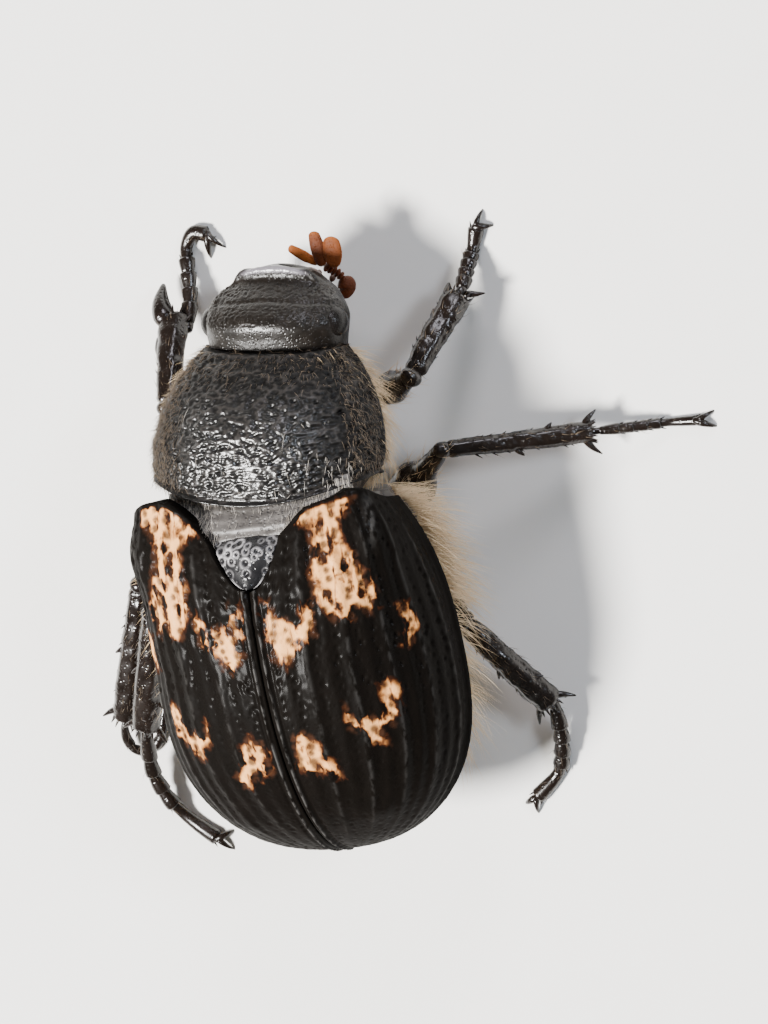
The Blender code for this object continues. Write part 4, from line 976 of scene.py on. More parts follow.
def head():
    rows, columns = HEAD_ROWS, HEAD_COLUMNS
    draw = np.random.default_rng(32)
    shares = 1.0 - (1.0 - np.linspace(0.0, 1.0, rows)) ** 1.25
    sections = np.array([(y, 0.0, 0.0, half, top, low) for y, half, top, low in HEAD_SECTIONS])
    y, _, _, half, top, low = through(sections, shares).T
    closing = np.linspace(0.0, 1.0, RIM_ROWS + 1)[1:]
    y = np.concatenate([y, y[-1] - 0.03 * np.sin(closing * math.pi / 2.0)])
    shrink = np.concatenate([np.ones(rows), np.cos(closing * math.pi / 2.0 * 0.97)])
    half, top, low = [np.pad(size, (0, RIM_ROWS), mode="edge") for size in (half, top, low)]
    ahead = smooth((-4.10 - y) / 0.40)
    power = 2.0 / (2.3 + 0.5 * ahead)[:, None]
    across = squared(np.cos(circle(columns)), power)
    upward = squared(np.sin(circle(columns)), power)
    middle, reach = 0.5 * (top + low), 0.5 * (top - low)
    bowed = y[:, None] + RIM_BOW * ahead[:, None] * across ** 2
    grid = np.stack([(half * shrink)[:, None] * across, bowed,
                     middle[:, None] + (reach * shrink)[:, None] * upward], axis=-1)
    normals = ring_normals(grid, HEAD_MIDDLE)
    x, y = grid[..., 0], y[:, None] + 0.0 * grid[..., 1]
    over = smooth(upward / 0.5) * shrink[:, None]
    lift = over * folds(y, FRONT_FOLDS)
    side_rim = bell((np.abs(across) - 0.90) / 0.07) * smooth((-4.02 - y) / 0.12)
    lift += 0.030 * side_rim * smooth((upward + 0.1) / 0.3)
    lift -= over * 0.016 * bell((y + 4.10 + 0.05 * np.cos(2.2 * x)) / 0.026)
    lift += over * 0.03 * bell((y + 3.84) / 0.14) * bell(x / 0.55)
    lift += over * 0.003 * cloud(x + 4.0, y + 9.0, 0.10, 31)
    lift += over * 0.004 * cloud(x + 4.0, y + 9.0, 0.045, 33) * smooth((-3.72 - y) / 0.10)
    pits = np.zeros(lift.shape)
    for _ in range(HEAD_PITS):
        row, column = int(draw.uniform(42, rows - 28)), int(draw.uniform(4, columns // 2 - 4))
        size = draw.uniform(0.7, 1.2)
        stamp(lift, pits, grid, (row, column), HEAD_PIT_RADIUS * size, HEAD_PIT_DEPTH * size,
              HEAD_PIT_WIDE)
    socket = np.zeros(lift.shape)
    for side in (-1.0, 1.0):
        eye = np.array(EYE_CENTRE) * [side, 1.0, 1.0]
        gap = np.linalg.norm(grid - eye, axis=-1)
        before = smooth((EYE_CENTRE[1] + 0.10 - y) / 0.2)
        socket += bell((gap - 1.12 * EYE_RADIUS) / 0.09) * (0.25 + 0.75 * before)
    lift += 0.025 * socket
    # Painted reflection: the broad front rim of the shovel is painted light violet grey.
    gleam = over * smooth((-4.54 - y) / 0.05) * smooth((0.90 - np.abs(across)) / 0.25)
    gleam = gleam * shrink[:, None] ** 5
    shine = np.maximum(0.6 * smooth((y + 3.80) / 0.12) * smooth((x + 0.75) / 0.5), gleam) + 0.30
    marks = {"lie": lie_along(grid), "gleam": gleam, "shine": shine,
             "hair": smooth((-upward - 0.1) / 0.4)}
    return turned_shape(loft(grid + normals * lift[..., None], marks))


head_horn = tipped_horn("head_horn", HEAD_BLACK, HEAD_LIGHT, RIM_PAINTED_REFLECTION, 0.40, polish=0.7,
                        blotch=5.0, pores=(20.0, 0.35), grain=0.35, gloss=0.15)
piece("head_capsule", head(), head_horn, ["head"])


# Eyes
# Two glossy black domes with a net of tiny facets, set deep in the sides of the head. Each is a
# flattened ball of smooth horn, and the facets are pressed into its lens as a bump.
EYE_STRETCH = (0.82, 0.95, 0.95)
EYE_ROWS, EYE_COLUMNS = 40, 56
FACETS_PER_MM = 34.0
FACET_DEPTH = 0.008
EYE_BROWN = (0.010, 0.008, 0.007)
EYE_BLACK = (0.002, 0.002, 0.002)


def dome(centre):
    """An eye, a ball whose poles lie along x, flattened a little."""
    polar = np.linspace(0.0, math.pi, EYE_ROWS + 2)[1:-1][:, None]
    turn = circle(EYE_COLUMNS)[None, :]
    way = np.stack([np.cos(polar) + 0.0 * turn, np.sin(polar) * np.cos(turn),
                    np.sin(polar) * np.sin(turn)], axis=-1)
    grid = np.asarray(centre) + EYE_RADIUS * way * np.asarray(EYE_STRETCH)
    return turned_shape(loft(grid, {"lie": lie_along(grid)}))


eye_look = Finish("eye_lens")
facets = eye_look.add("ShaderNodeTexVoronoi", {"Vector": eye_look.place, "Scale": FACETS_PER_MM,
                                               "Randomness": 0.25}).outputs["Distance"]
eye_lens = eye_look.wear({"Base Color": eye_look.mix(facets, EYE_BROWN, EYE_BLACK),
                          "Normal": eye_look.bump(facets, 0.5, FACET_DEPTH, invert=True),
                          "Roughness": 0.26, "Specular IOR Level": 0.16})
for eye_name, eye_side in (("left", 1.0), ("right", -1.0)):
    eye_dome = dome((eye_side * EYE_CENTRE[0], EYE_CENTRE[1], EYE_CENTRE[2]))
    piece("eye_dome_" + eye_name, eye_dome, eye_lens, ["eye_" + eye_name])


# Feelers
# Each feeler is a stout first joint, six small beads and a club of three long leaves. The right
# one is raised before the head with its leaves spread, the left one is folded under the head.
FEELER_ORANGE = (0.30, 0.085, 0.016)
FEELER_DARK = (0.024, 0.006, 0.003)
FEELER_BROWN = (0.10, 0.026, 0.008)
LEAF_ROWS, LEAF_AROUND = 44, 48
LEAF_WIDTHS = (0.52, 0.86, 1.0, 0.92, 0.70)
LEAF_HEIGHTS = (0.040, 0.045, 0.042, 0.036, 0.024)
BEADS = 6
STRAIGHT_UP = (0.0, 0.0, 1.0)

# Each leaf: where it starts beside the club's base, its way, length, half-width and orange share.
OPEN_LEAVES = (((0.06, 0.0, -0.04), (1.30, -0.72, 0.05), 0.56, 0.085, 0.60),
               ((-0.04, 0.04, 0.02), (0.10, -1.0, 0.20), 0.60, 0.125, 0.05),
               ((-0.27, 0.06, 0.06), (0.00, -1.0, 0.10), 0.52, 0.165, 0.20))
SHUT_LEAVES = (((0.17, 0.0, -0.08), (0.05, 1.0, -0.05), 0.54, 0.13, 0.35),
               ((0.0, 0.0, 0.0), (-0.06, 1.0, -0.10), 0.60, 0.14, 0.10),
               ((-0.17, 0.0, 0.08), (-0.16, 1.0, -0.15), 0.54, 0.13, 0.50))


def profile(shares, values, places):
    """Smooth sizes between a few given ones."""
    points = np.array([(share, 0.0, 0.0, value) for share, value in zip(shares, values)])
    even = np.linspace(0.0, 1.0, 200)
    return np.interp(places, even, through(points, even)[:, 3])


def tube(path, widths, heights=None, *, rows, around, ends=(1.0, 1.0), flutes=(0, 0.0),
         hair=0.0, lumps=0.0):
    """A limb along a smooth path; sizes are given at even shares of it and its ends are rounded."""
    places = 0.5 - 0.5 * np.cos(math.pi * np.linspace(0.0, 1.0, rows))
    line = through(np.asarray(path, float), places)
    tangent = unit(np.gradient(line, places, axis=0))
    across = unit(np.cross(tangent, STRAIGHT_UP))
    upward = np.cross(across, tangent)
    given = np.linspace(0.0, 1.0, len(widths))
    width = profile(given, widths, places)
    height = profile(given, heights if heights is not None else widths, places)
    length = float(np.sum(np.linalg.norm(np.diff(line, axis=0), axis=1)))
    round_off = 1.0
    for far, reach in ((places, ends[0] * widths[0]), (1.0 - places, ends[1] * widths[-1])):
        share = np.clip(far * length / reach, 0.0, 1.0)
        round_off = round_off * np.sqrt(np.maximum(1.0 - (1.0 - share) ** 2, 0.0004))
    turn = circle(around)
    flute = 1.0 + flutes[1] * np.cos(flutes[0] * turn)
    grid = line[:, None, :] + 0.0
    for size, bend, aside in ((width, np.cos(turn), across), (height, np.sin(turn), upward)):
        grid = grid + ((size * round_off)[:, None, None] * (bend * flute)[None, :, None]
                       * aside[:, None, :])
    if lumps:
        coarse = cloud(grid[..., 0] + grid[..., 2] + 40.0, grid[..., 1] + 40.0, 0.13, 51)
        grid += unit(grid - line[:, None, :]) * (lumps * coarse)[..., None]
    lie = np.repeat(tangent[:, None, :], around, axis=1)
    return loft(grid, {"lie": lie, "hair": np.full((rows, around), hair)})


def joint(start, end, sizes, rows, around):
    """A short straight limb with three sizes."""
    return tube([start, 0.5 * (start + end), end], sizes, rows=rows, around=around)


def feeler(base, club_base, leaves):
    """The shapes of one feeler: a scape, beads, then three leaves that spread fanwise."""
    base = np.asarray(base, float)
    shapes = [tube(base[:3], (0.06, 0.12, 0.15, 0.10), rows=26, around=18)]
    beads = through(base, np.linspace(0.42, 1.0, BEADS + 1))
    for place, (start, end) in enumerate(zip(beads, beads[1:])):
        size = 0.085 + 0.008 * place
        shapes.append(tube([start, 0.5 * (start + end), end + 0.1 * (end - start)],
                           (0.55 * size, size, 0.8 * size), rows=16, around=14))
    along = np.repeat(np.linspace(0.0, 1.0, LEAF_ROWS), LEAF_AROUND)
    edge = np.tile(np.abs(np.cos(circle(LEAF_AROUND))), LEAF_ROWS)
    along, edge = np.append(along, [0.0, 1.0]), np.append(edge, [0.0, 1.0])
    rising = 0.45 * smooth((along - 0.70) / 0.25) + 0.35 * smooth((edge - 0.90) / 0.09)
    for aside, way, reach, half, tint in leaves:
        start, way = np.asarray(club_base, float) + aside, unit(way)
        shape = tube([start + share * reach * way for share in (0.0, 0.35, 0.7, 1.0)],
                     [half * share for share in LEAF_WIDTHS], LEAF_HEIGHTS, rows=LEAF_ROWS,
                     around=LEAF_AROUND, ends=(0.8, 0.7), flutes=(14, 0.025))
        shape["marks"]["gleam"] = (tint + rising)[:, None]
        shapes.append(shape)
    return turned_shape(merged(shapes))


feeler_horn = tipped_horn("feeler_horn", FEELER_DARK, FEELER_BROWN, FEELER_ORANGE, 0.55,
                          blotch=9.0, pores=(24.0, 0.5), grain=0.8, gloss=0.10)
piece("feeler_right", feeler([(-0.68, -3.98, 1.02), (-0.76, -4.16, 0.98), (-0.71, -4.33, 1.04),
                              (-0.62, -4.45, 1.14), (-0.53, -4.54, 1.26)],
                             (-0.46, -4.58, 1.30), OPEN_LEAVES),
      feeler_horn, ["antenna_right"])
piece("feeler_left", feeler([(0.84, -4.10, 1.17), (0.95, -4.27, 1.00), (0.97, -4.30, 0.84),
                             (0.95, -4.20, 0.72), (0.92, -4.08, 0.70)],
                            (0.90, -4.02, 0.70), SHUT_LEAVES),
      feeler_horn, ["antenna_left"])


# Mouth
# Upper lip, two blunt jaws and the jointed palps hang under the shovel of the head. They are thin
# brown horn, each made as a short limb.
MOUTH_BROWN = (0.030, 0.012, 0.007)
MOUTH_LIGHT = (0.085, 0.035, 0.016)


def mouth():
    shapes = [tube([(0.0, -3.86, 1.16), (0.0, -4.20, 1.13), (0.0, -4.44, 1.18)],
                   (0.30, 0.38, 0.27), (0.15, 0.17, 0.10), rows=30, around=40, ends=(0.5, 0.5),
                   hair=0.6)]
    for side in (-1.0, 1.0):
        jaw = [(side * 0.26, -4.10, 1.10), (side * 0.30, -4.28, 1.12), (side * 0.22, -4.42, 1.14),
               (side * 0.10, -4.48, 1.15)]
        shapes.append(tube(jaw, (0.13, 0.14, 0.10, 0.04), rows=26, around=18))
        palp = through([(side * 0.28, -4.05, 1.02), (side * 0.42, -4.22, 0.88),
                        (side * 0.45, -4.34, 0.78), (side * 0.40, -4.46, 0.72)],
                       np.linspace(0.0, 1.0, 5))
        for start, end, size in zip(palp, palp[1:], (0.05, 0.055, 0.055, 0.07)):
            shapes.append(joint(start, end, (0.7 * size, size, 0.8 * size), 14, 12))
        lower = through([(side * 0.13, -4.08, 1.00), (side * 0.18, -4.26, 0.84),
                         (side * 0.19, -4.42, 0.76)], np.linspace(0.0, 1.0, 4))
        for start, end in zip(lower, lower[1:]):
            shapes.append(joint(start, end, (0.035, 0.05, 0.04), 12, 12))
    return turned_shape(merged(shapes))


mouth_horn = horn("mouth_horn", MOUTH_BROWN, MOUTH_LIGHT, 0.34, blotch=5.0,
                  pores=(18.0, 0.3)).material
mouth_piece = piece("mouth_parts", mouth(), mouth_horn, ["mouthparts"])


# Trunk
# The underside: the fore body, the broad chest and the belly, whose plates slide under one
# another. All of it is dark brown horn, rough with pores, and carries the long pale hair.
BELLY_Z = 1.1
WAIST_Y = 1.0
BELLY_PLATES = (WAIST_Y, 1.55, 2.05, 2.55, 3.0, 3.4, 3.98)
TAIL_TOP_Z, TAIL_LOW_Z, TAIL_HALF = 2.16, 1.22, 1.40
TRUNK_INSET = CASE_WALL + 0.06
HALF_RING = 70
BELLY_STEP = 0.055
FORE_BEND, HIND_BEND = 1.7, 1.75

# The tail plate from its root outwards: how far back each section lies, and its scale.
TAIL_SECTIONS = ((-0.45, 0.92), (-0.16, 1.0), (-0.02, 0.92), (0.07, 0.66), (0.11, 0.34),
                 (0.12, 0.03))
SKIN_BROWN = (0.020, 0.015, 0.012)
SKIN_LIGHT = (0.050, 0.040, 0.032)

# Where each leg is seated under the body, and where its thigh sags lowest.
SEATS = {"front_left": ((0.62, -2.37, 0.84), (1.40, -2.44, 0.97)),
         "front_right": ((-0.88, -2.22, 0.84), (-1.42, -2.36, 0.97)),
         "middle_left": ((0.88, -0.35, 0.84), (1.80, -0.34, 0.92)),
         "middle_right": ((-0.88, -0.35, 0.84), (-1.55, -0.76, 0.94)),
         "hind_left": ((0.95, 0.62, 0.84), (1.85, 0.84, 0.90)),
         "hind_right": ((-0.95, 0.62, 0.82), (-1.55, 0.98, 0.84))}


def trunk_grid(y, inner_half, inner_vault, margin, outer_half, belly, power):
    """Rings of the trunk: a vault under the shell, a ledge below its edge, then the belly."""
    y, inner_half, inner_vault, margin, outer_half, belly = [
        np.broadcast_to(size, np.shape(y))[:, None]
        for size in (y, inner_half, inner_vault, margin, outer_half, belly)]
    over = np.linspace(0.0, math.pi, HALF_RING)[None, :]
    below = np.linspace(math.pi, 2.0 * math.pi, HALF_RING + 2)[None, 1:-1]
    halves = []
    for angle, half, rise, bend in ((over, inner_half, inner_vault, 2.0 / 2.2),
                                    (below, outer_half, belly - margin, 2.0 / power)):
        halves.append(np.stack([half * squared(np.cos(angle), bend), y + 0.0 * angle,
                                margin + rise * np.abs(np.sin(angle)) ** bend], axis=-1))
    return np.concatenate(halves, axis=1)


def belly_marks(grid, density):
    """Hair grows on the lower side and flanks, not on the closed ends, and leans back and out."""
    y, z = grid[..., 1], grid[..., 2]
    low = smooth((np.minimum(case_margin(y) - 0.06, 2.55) - z) / 0.20)
    low[[0, -1]] = 0.0
    lie = unit(lie_along(grid) + 0.55 * unit(grid - [0.0, 0.0, 1.9]) * [1.0, 0.0, 0.6])
    return {"lie": lie, "hair": low * density}


def rough(grid, centre, strength, seed):
    """A skin roughened along its normals by soft random bumps."""
    normals = ring_normals(grid, centre)
    bumps = cloud(grid[..., 0] + grid[..., 2] + 20.0, grid[..., 1] + 20.0, 0.12, seed)
    return grid + normals * (strength * bumps)[..., None], normals


def sockets(*legs):
    """The socket piece of each leg and the small ring between it and the thigh."""
    shapes = []
    for seat, sag in [np.asarray(SEATS[leg], float) for leg in legs]:
        way = unit(sag - seat)
        inward = -0.70 * way + np.array([0.0, 0.0, 0.34])
        shapes.append(tube([seat + inward, seat + 0.5 * inward, seat - 0.12 * way, seat],
                           (0.24, 0.33, 0.31, 0.25), rows=34, around=28, hair=0.5))
        shapes.append(tube([seat - 0.06 * way, seat + 0.05 * way, seat + 0.16 * way],
                           (0.20, 0.23, 0.19), rows=20, around=24))
    return shapes


def fore_trunk():
    y = np.linspace(SHIELD_FRONT_Y + 0.02, SHIELD_BASE_Y - 0.02, 60)
    half = shield_half_width(y)
    front = np.clip((-2.6 - y) / 0.8, 0.0, 1.0)
    rear = np.clip((y + 1.9) / 0.9, 0.0, 1.0)
    inset = SHIELD_WALL + 0.05
    grid = trunk_grid(y, half - inset - 0.1 * rear, shield_vault(y) - inset,
                      shield_margin(y) - 0.05, half - 0.12 - 0.30 * rear ** 2,
                      BELLY_Z + 0.05 + 0.30 * front ** 2, FORE_BEND)
    skin, _ = rough(grid, (0.0, -2.2, 1.9), 0.02, 41)
    return turned_shape(loft(skin, belly_marks(grid, 1.0)))


def hind_trunk(y, shrink):
    inset = TRUNK_INSET
    dome_y = np.minimum(y, CASE_APEX_Y - inset - 0.03)
    half = np.maximum(case_half_width(dome_y, inset), 0.15)
    dip = 0.34 * smooth((-0.02 - y) / 0.6)
    vault = np.maximum(case_vault(dome_y, inset), 0.10) - dip
    rear = np.clip((y - CASE_WIDEST_Y) / 2.15, 0.0, 0.97)
    outer = np.minimum(case_half_width(y) - 0.12, 2.48 * (1.0 - rear ** 2.6) ** 0.5)
    belly = BELLY_Z + 0.30 * np.clip((y - 1.5) / 2.6, 0.0, 1.0) ** 2 + shrink
    return trunk_grid(y, np.minimum(half, outer - 0.04), vault, case_margin(y) - 0.06,
                      outer - shrink, belly, HIND_BEND)


def chest():
    y = np.linspace(-0.95, WAIST_Y, 60)
    grid = hind_trunk(y, 0.12 * smooth((-0.55 - y) / 0.3))
    under = grid[..., 2] < 1.6
    keel = 0.05 * bell(grid[..., 0] / 0.10) * under * smooth((grid[..., 1] + 0.4) / 0.3)
    furrow = 0.03 * bell((np.abs(grid[..., 0]) - 0.16) / 0.05) * under
    skin, normals = rough(grid, (0.0, 0.0, 2.0), 0.018, 42)
    return loft(skin + normals * (keel - furrow)[..., None], belly_marks(grid, 1.0))


def tail_plate_y(z):
    """The tail plate leans back from its foot to its top."""
    return 4.42 - 0.55 * (2.15 - z)


def belly():
    last_y = BELLY_PLATES[-1]
    y = np.linspace(WAIST_Y + 0.01, last_y, 130)
    step = np.zeros_like(y)
    for start, end in zip(BELLY_PLATES, BELLY_PLATES[1:]):
        share = (y - start) / (end - start)
        step = np.where((share >= 0.0) & (share < 1.0), BELLY_STEP * (1.0 - share ** 0.7), step)
    grid = hind_trunk(y, step)
    low = smooth((2.3 - grid[..., 2]) / 0.4)
    tail = np.minimum(tail_plate_y(grid[-1, :, 2]) - 0.60, last_y)
    slide = np.clip((grid[..., 1] - 2.0) / (last_y - 2.0), 0.0, 1.0) ** 2
    grid[..., 1] += slide * (tail - last_y)[None, :]
    skin, _ = rough(grid, (0.0, 2.4, 2.0), 0.014, 43)
    rows_of_hair = 0.25 + 0.75 * bell((step - 0.01) / 0.014)[:, None]
    return loft(skin, belly_marks(grid, rows_of_hair * (0.35 + 0.65 * low)))


def tail_plate():
    """The pygidium, a domed triangle below the apex of the wing cases."""
    turn = circle(90)
    sections = [(depth, 0.0, 0.0, scale) for depth, scale in TAIL_SECTIONS]
    rings = []
    for depth, _, _, scale in through(sections, np.linspace(0.0, 1.0, 60)):
        z = (0.5 * (TAIL_TOP_Z + TAIL_LOW_Z)
             + scale * 0.5 * (TAIL_TOP_Z - TAIL_LOW_Z) * np.sin(turn))
        narrow = np.where(np.sin(turn) < 0, 1.0 - 0.35 * (0.5 - 0.5 * np.sin(turn)), 0.83)
        x = scale * TAIL_HALF * narrow * squared(np.cos(turn), 0.7)
        rings.append(np.stack([x, tail_plate_y(z) + depth, z], axis=-1))
    grid = np.array(rings)
    skin, _ = rough(grid, (0.0, 3.6, 1.8), 0.02, 44)
    lie = unit(np.stack([0.4 * grid[..., 0], np.full(grid.shape[:2], 0.5),
                         np.full(grid.shape[:2], -0.8)], axis=-1))
    return loft(skin, {"lie": lie, "hair": np.ones(grid.shape[:2])})


trunk_horn = horn("trunk_horn", SKIN_BROWN, SKIN_LIGHT, 0.42, blotch=3.0, pores=(16.0, 0.5),
                  grain=0.5).material
fore_piece = piece("fore_trunk", merged([fore_trunk(), *sockets("front_left", "front_right")]),
                   trunk_horn, ["prosternum"])
chest_piece = piece("chest", merged([chest(), *sockets("middle_left", "middle_right", "hind_left",
                                                       "hind_right")]),
                    trunk_horn, ["thorax"])
belly_piece = piece("belly", belly(), trunk_horn, ["abdomen"])
tail_piece = piece("tail_plate", tail_plate(), trunk_horn, ["pygidium"])


# Legs
# Six dark brown legs. A thigh is swollen in its middle, a shin is ridged and carries teeth and two
# spurs at its flared end, and a foot has four cup-like joints, a long last one and two claws.
LEG_BLACK = (0.0026, 0.0019, 0.0015)
LEG_BROWN = (0.0090, 0.0048, 0.0030)
THIGH_SHARES = (0.62, 0.88, 1.0, 0.94, 0.72, 0.56)
SHIN_WIDTHS = (0.82, 0.88, 0.95, 1.02, 1.08, 1.02)
SHIN_HEIGHTS = (0.80, 0.86, 0.92, 0.98, 1.02, 0.94)
CROWN_SPINES = 10
BRISTLE_PLACES = np.arange(0.22, 0.86, 0.085)
FOOT_STEPS = 80
FOOT_JOINTS = (0.0, 0.20, 0.34, 0.47, 0.60, 1.0)
CUP_SHARES, LAST_SHARES = (0.66, 0.80, 0.94, 0.98), (0.66, 0.70, 0.84, 0.92)
CLAW_SIZES = (0.065, 0.050)

# Each tooth: share of the shin's length, side, lift, radius, reach and lean towards the foot.
BACK_TEETH = ((0.46, 1, 0.2, 0.055, 0.16, 0.8), (0.66, -1, 0.2, 0.05, 0.14, 0.8),
              (0.90, 1, 0.0, 0.055, 0.34, 0.9), (0.90, -1, 0.0, 0.055, 0.30, 0.9))
FORE_TEETH = ((0.52, -1, 0.0, 0.10, 0.34, 2.2), (0.84, -1, 0.4, 0.17, 0.66, 7.0),
              (0.80, 1, 0.1, 0.05, 0.20, 0.8))
BLUNT_TEETH = ((0.62, -1, 0.0, 0.09, 0.12, 1.0), (0.86, -1, 0.0, 0.09, 0.20, 1.6),
               (0.98, 1, 0.1, 0.05, 0.22, 0.5))

# Each leg: knee, ankle, girth of thigh, shin and foot, how slim the thigh is towards the knee, the
# shin's teeth, the foot's way to its toe and the claws. The left front shin ends beside its foot.
LEGS = {
    "front_left": dict(
        knee=(2.30, -2.50, 1.50), ankle=(2.15, -3.73, 0.60), shin_end=(2.40, -4.00, 0.50),
        girth=(0.33, 0.22, 0.14), slim=1.0, teeth=FORE_TEETH,
        route=((2.16, -4.22, 0.34), (2.19, -4.65, 0.20), (2.20, -4.98, 0.09),
               (2.04, -5.17, 0.09), (1.78, -5.12, 0.09)),
        claws=((0.06, 0.40, -0.10), (-0.24, 0.26, -0.10))),
    "front_right": dict(
        knee=(-2.06, -2.54, 1.52), ankle=(-2.77, -3.75, 0.60),
        girth=(0.235, 0.20, 0.14), slim=0.88, teeth=BLUNT_TEETH,
        route=((-2.80, -4.05, 0.34), (-2.86, -4.38, 0.09), (-2.97, -4.69, 0.09)),
        claws=((-0.26, 0.02, -0.10), (-0.12, -0.26, -0.10))),
    "middle_left": dict(
        knee=(3.44, 0.30, 1.28), ankle=(4.59, 2.68, 0.42),
        girth=(0.33, 0.19, 0.09), slim=1.0, teeth=BACK_TEETH,
        route=((4.68, 2.92, 0.27), (4.61, 3.14, 0.19), (4.38, 3.20, 0.09), (4.16, 3.02, 0.09),
               (4.02, 2.62, 0.09), (3.74, 2.06, 0.09)),
        claws=((-0.28, -0.12, -0.10), (-0.06, -0.30, -0.10))),
    "middle_right": dict(
        knee=(-2.41, -1.34, 1.55), ankle=(-4.69, -1.24, 0.50),
        girth=(0.33, 0.145, 0.09), slim=0.60, teeth=BACK_TEETH,
        route=((-5.25, -1.22, 0.32), (-5.80, -1.20, 0.09), (-6.24, -1.18, 0.09)),
        claws=((-0.28, 0.14, -0.10), (-0.28, -0.12, -0.10))),
    "hind_left": dict(
        knee=(3.08, 0.74, 1.70), ankle=(4.03, 2.82, 0.82),
        girth=(0.34, 0.21, 0.14), slim=1.0, teeth=BACK_TEETH,
        route=((4.19, 3.62, 0.42), (4.06, 4.08, 0.24), (3.86, 4.40, 0.09), (3.40, 4.78, 0.09)),
        claws=((-0.26, -0.10, -0.10), (-0.22, 0.22, -0.10))),
    "hind_right": dict(
        knee=(-2.30, 1.42, 1.55), ankle=(-3.20, 3.10, 0.54),
        girth=(0.34, 0.21, 0.14), slim=0.85, teeth=BACK_TEETH,
        route=((-3.12, 3.68, 0.32), (-2.86, 4.24, 0.09), (-2.42, 4.60, 0.09)),
        claws=((0.26, 0.10, -0.10), (0.06, 0.28, -0.10))),
}


def thorn(root, tip, radius, bend=(0.0, 0.0, 0.0)):
    """A tapered spine whose middle is pushed aside by bend."""
    root, tip = np.asarray(root, float), np.asarray(tip, float)
    return tube([root, 0.5 * (root + tip) + np.asarray(bend), tip],
                (radius, 0.75 * radius, 0.16 * radius), rows=14, around=10)


def thigh(name, plan):
    seat, sag, knee = [np.asarray(point, float) for point in (*SEATS[name], plan["knee"])]
    start = seat + 0.14 * unit(sag - seat)
    girth, slim = plan["girth"][0], plan["slim"]
    shares = np.multiply(THIGH_SHARES, [1.0, 1.0, 1.0, slim, slim, slim])
    widths, heights = 1.15 * girth * shares, 0.92 * girth * shares
    way = unit(knee - sag)
    return tube([start, 0.55 * start + 0.45 * sag, sag, 0.5 * (sag + knee), knee - 0.02 * way],
                widths, heights, rows=64, around=40, ends=(0.7, 0.9), hair=1.0, lumps=0.010)


def shin(plan, seed):
    """The shaft with its ridges, its teeth, a crown of small spines and two rows of bristles."""
    knee, ankle = [np.asarray(point, float)
                   for point in (plan["knee"], plan.get("shin_end", plan["ankle"]))]
    way = unit(ankle - knee)
    across = unit(np.cross(way, STRAIGHT_UP))
    upward = np.cross(across, way)
    length = float(np.linalg.norm(ankle - knee))
    girth = plan["girth"][1]
    widths = [1.1 * girth * share for share in SHIN_WIDTHS]
    heights = [0.9 * girth * share for share in SHIN_HEIGHTS]
    shapes = [tube([knee + 0.04 * way, 0.5 * (knee + ankle) + 0.03 * upward, ankle - 0.06 * way],
                   widths, heights, rows=90, around=56, ends=(1.0, 0.45), flutes=(6, 0.03),
                   hair=1.0, lumps=0.016)]
    shapes.append(tube([knee - 0.15 * way, knee + 0.02 * way, knee + 0.18 * way],
                       (0.72 * girth, 0.92 * girth, 0.80 * girth), rows=24, around=24))
    for share, side, lift, radius, reach, lean in plan["teeth"]:
        out = unit(side * across + lift * upward)
        root = knee + way * length * share + 0.45 * girth * out
        tip = root + (0.55 * girth + reach) * unit(out + lean * way)
        shapes.append(thorn(root, tip, 1.25 * radius, 0.10 * reach * out))
    draw = np.random.default_rng(seed)
    for turn in circle(CROWN_SPINES):
        out = math.cos(turn) * across + math.sin(turn) * 0.85 * upward
        root = ankle - 0.16 * way + 0.90 * girth * out
        shapes.append(thorn(root, root + 0.16 * unit(way + 0.45 * out), 0.026))
    for side in (-1.0, 1.0):
        for place in BRISTLE_PLACES:
            out = unit(side * across + draw.uniform(0.1, 0.6) * upward)
            root = knee + way * length * (place + draw.uniform(-0.02, 0.02)) + 0.80 * girth * out
            tip = root + draw.uniform(0.10, 0.17) * unit(out + 1.4 * way)
            shapes.append(thorn(root, tip, 0.018))
    return merged(shapes)


def foot(plan):
    """The joints of the foot, small spines under each, and the claws, resting on the floor."""
    ankle, girth = np.asarray(plan["ankle"], float), plan["girth"][2]
    path = through(np.array([ankle, *plan["route"]]), np.linspace(0.0, 1.0, FOOT_STEPS + 1))
    inward = unit(ankle - np.asarray(plan["knee"], float))
    shapes = [tube([ankle - 0.14 * inward, ankle, path[6]], [0.62 * girth] * 3, rows=20, around=20)]
    for first, last in zip(FOOT_JOINTS, FOOT_JOINTS[1:]):
        part = path[max(round(FOOT_STEPS * first) - 2, 0):round(FOOT_STEPS * last) + 3]
        line = part[[0, len(part) // 3, 2 * len(part) // 3, -1]]
        shares = CUP_SHARES if last < 1.0 else LAST_SHARES
        shapes.append(tube(line, [girth * share * 1.05 for share in shares],
                           [girth * share * 0.92 for share in shares], rows=30, around=24,
                           ends=(0.8, 0.35), hair=0.6))
        way = unit(part[-1] - part[0])
        across = unit(np.cross(way, STRAIGHT_UP))
        for side in (-0.8, 0.8):
            root = part[-1] - 0.05 * way + girth * 0.72 * side * across
            shapes.append(thorn(root, root + 0.13 * unit(way + 0.5 * side * across), 0.020))
    toe = np.asarray(plan["route"][-1], float)
    for reach, size in zip(np.asarray(plan["claws"], float), CLAW_SIZES):
        root, tip = toe - 0.08 * unit(reach), toe + reach
        shapes.append(tube([root, root + 0.45 * (tip - root) + [0.0, 0.0, 0.06],
                            root + 0.8 * (tip - root) + [0.0, 0.0, 0.05], tip],
                           (0.8 * size, size, 0.65 * size, 0.2 * size), rows=26, around=16))
    whole = merged(shapes)
    whole["points"][:, 2] = np.maximum(whole["points"][:, 2], 0.0)
    return whole


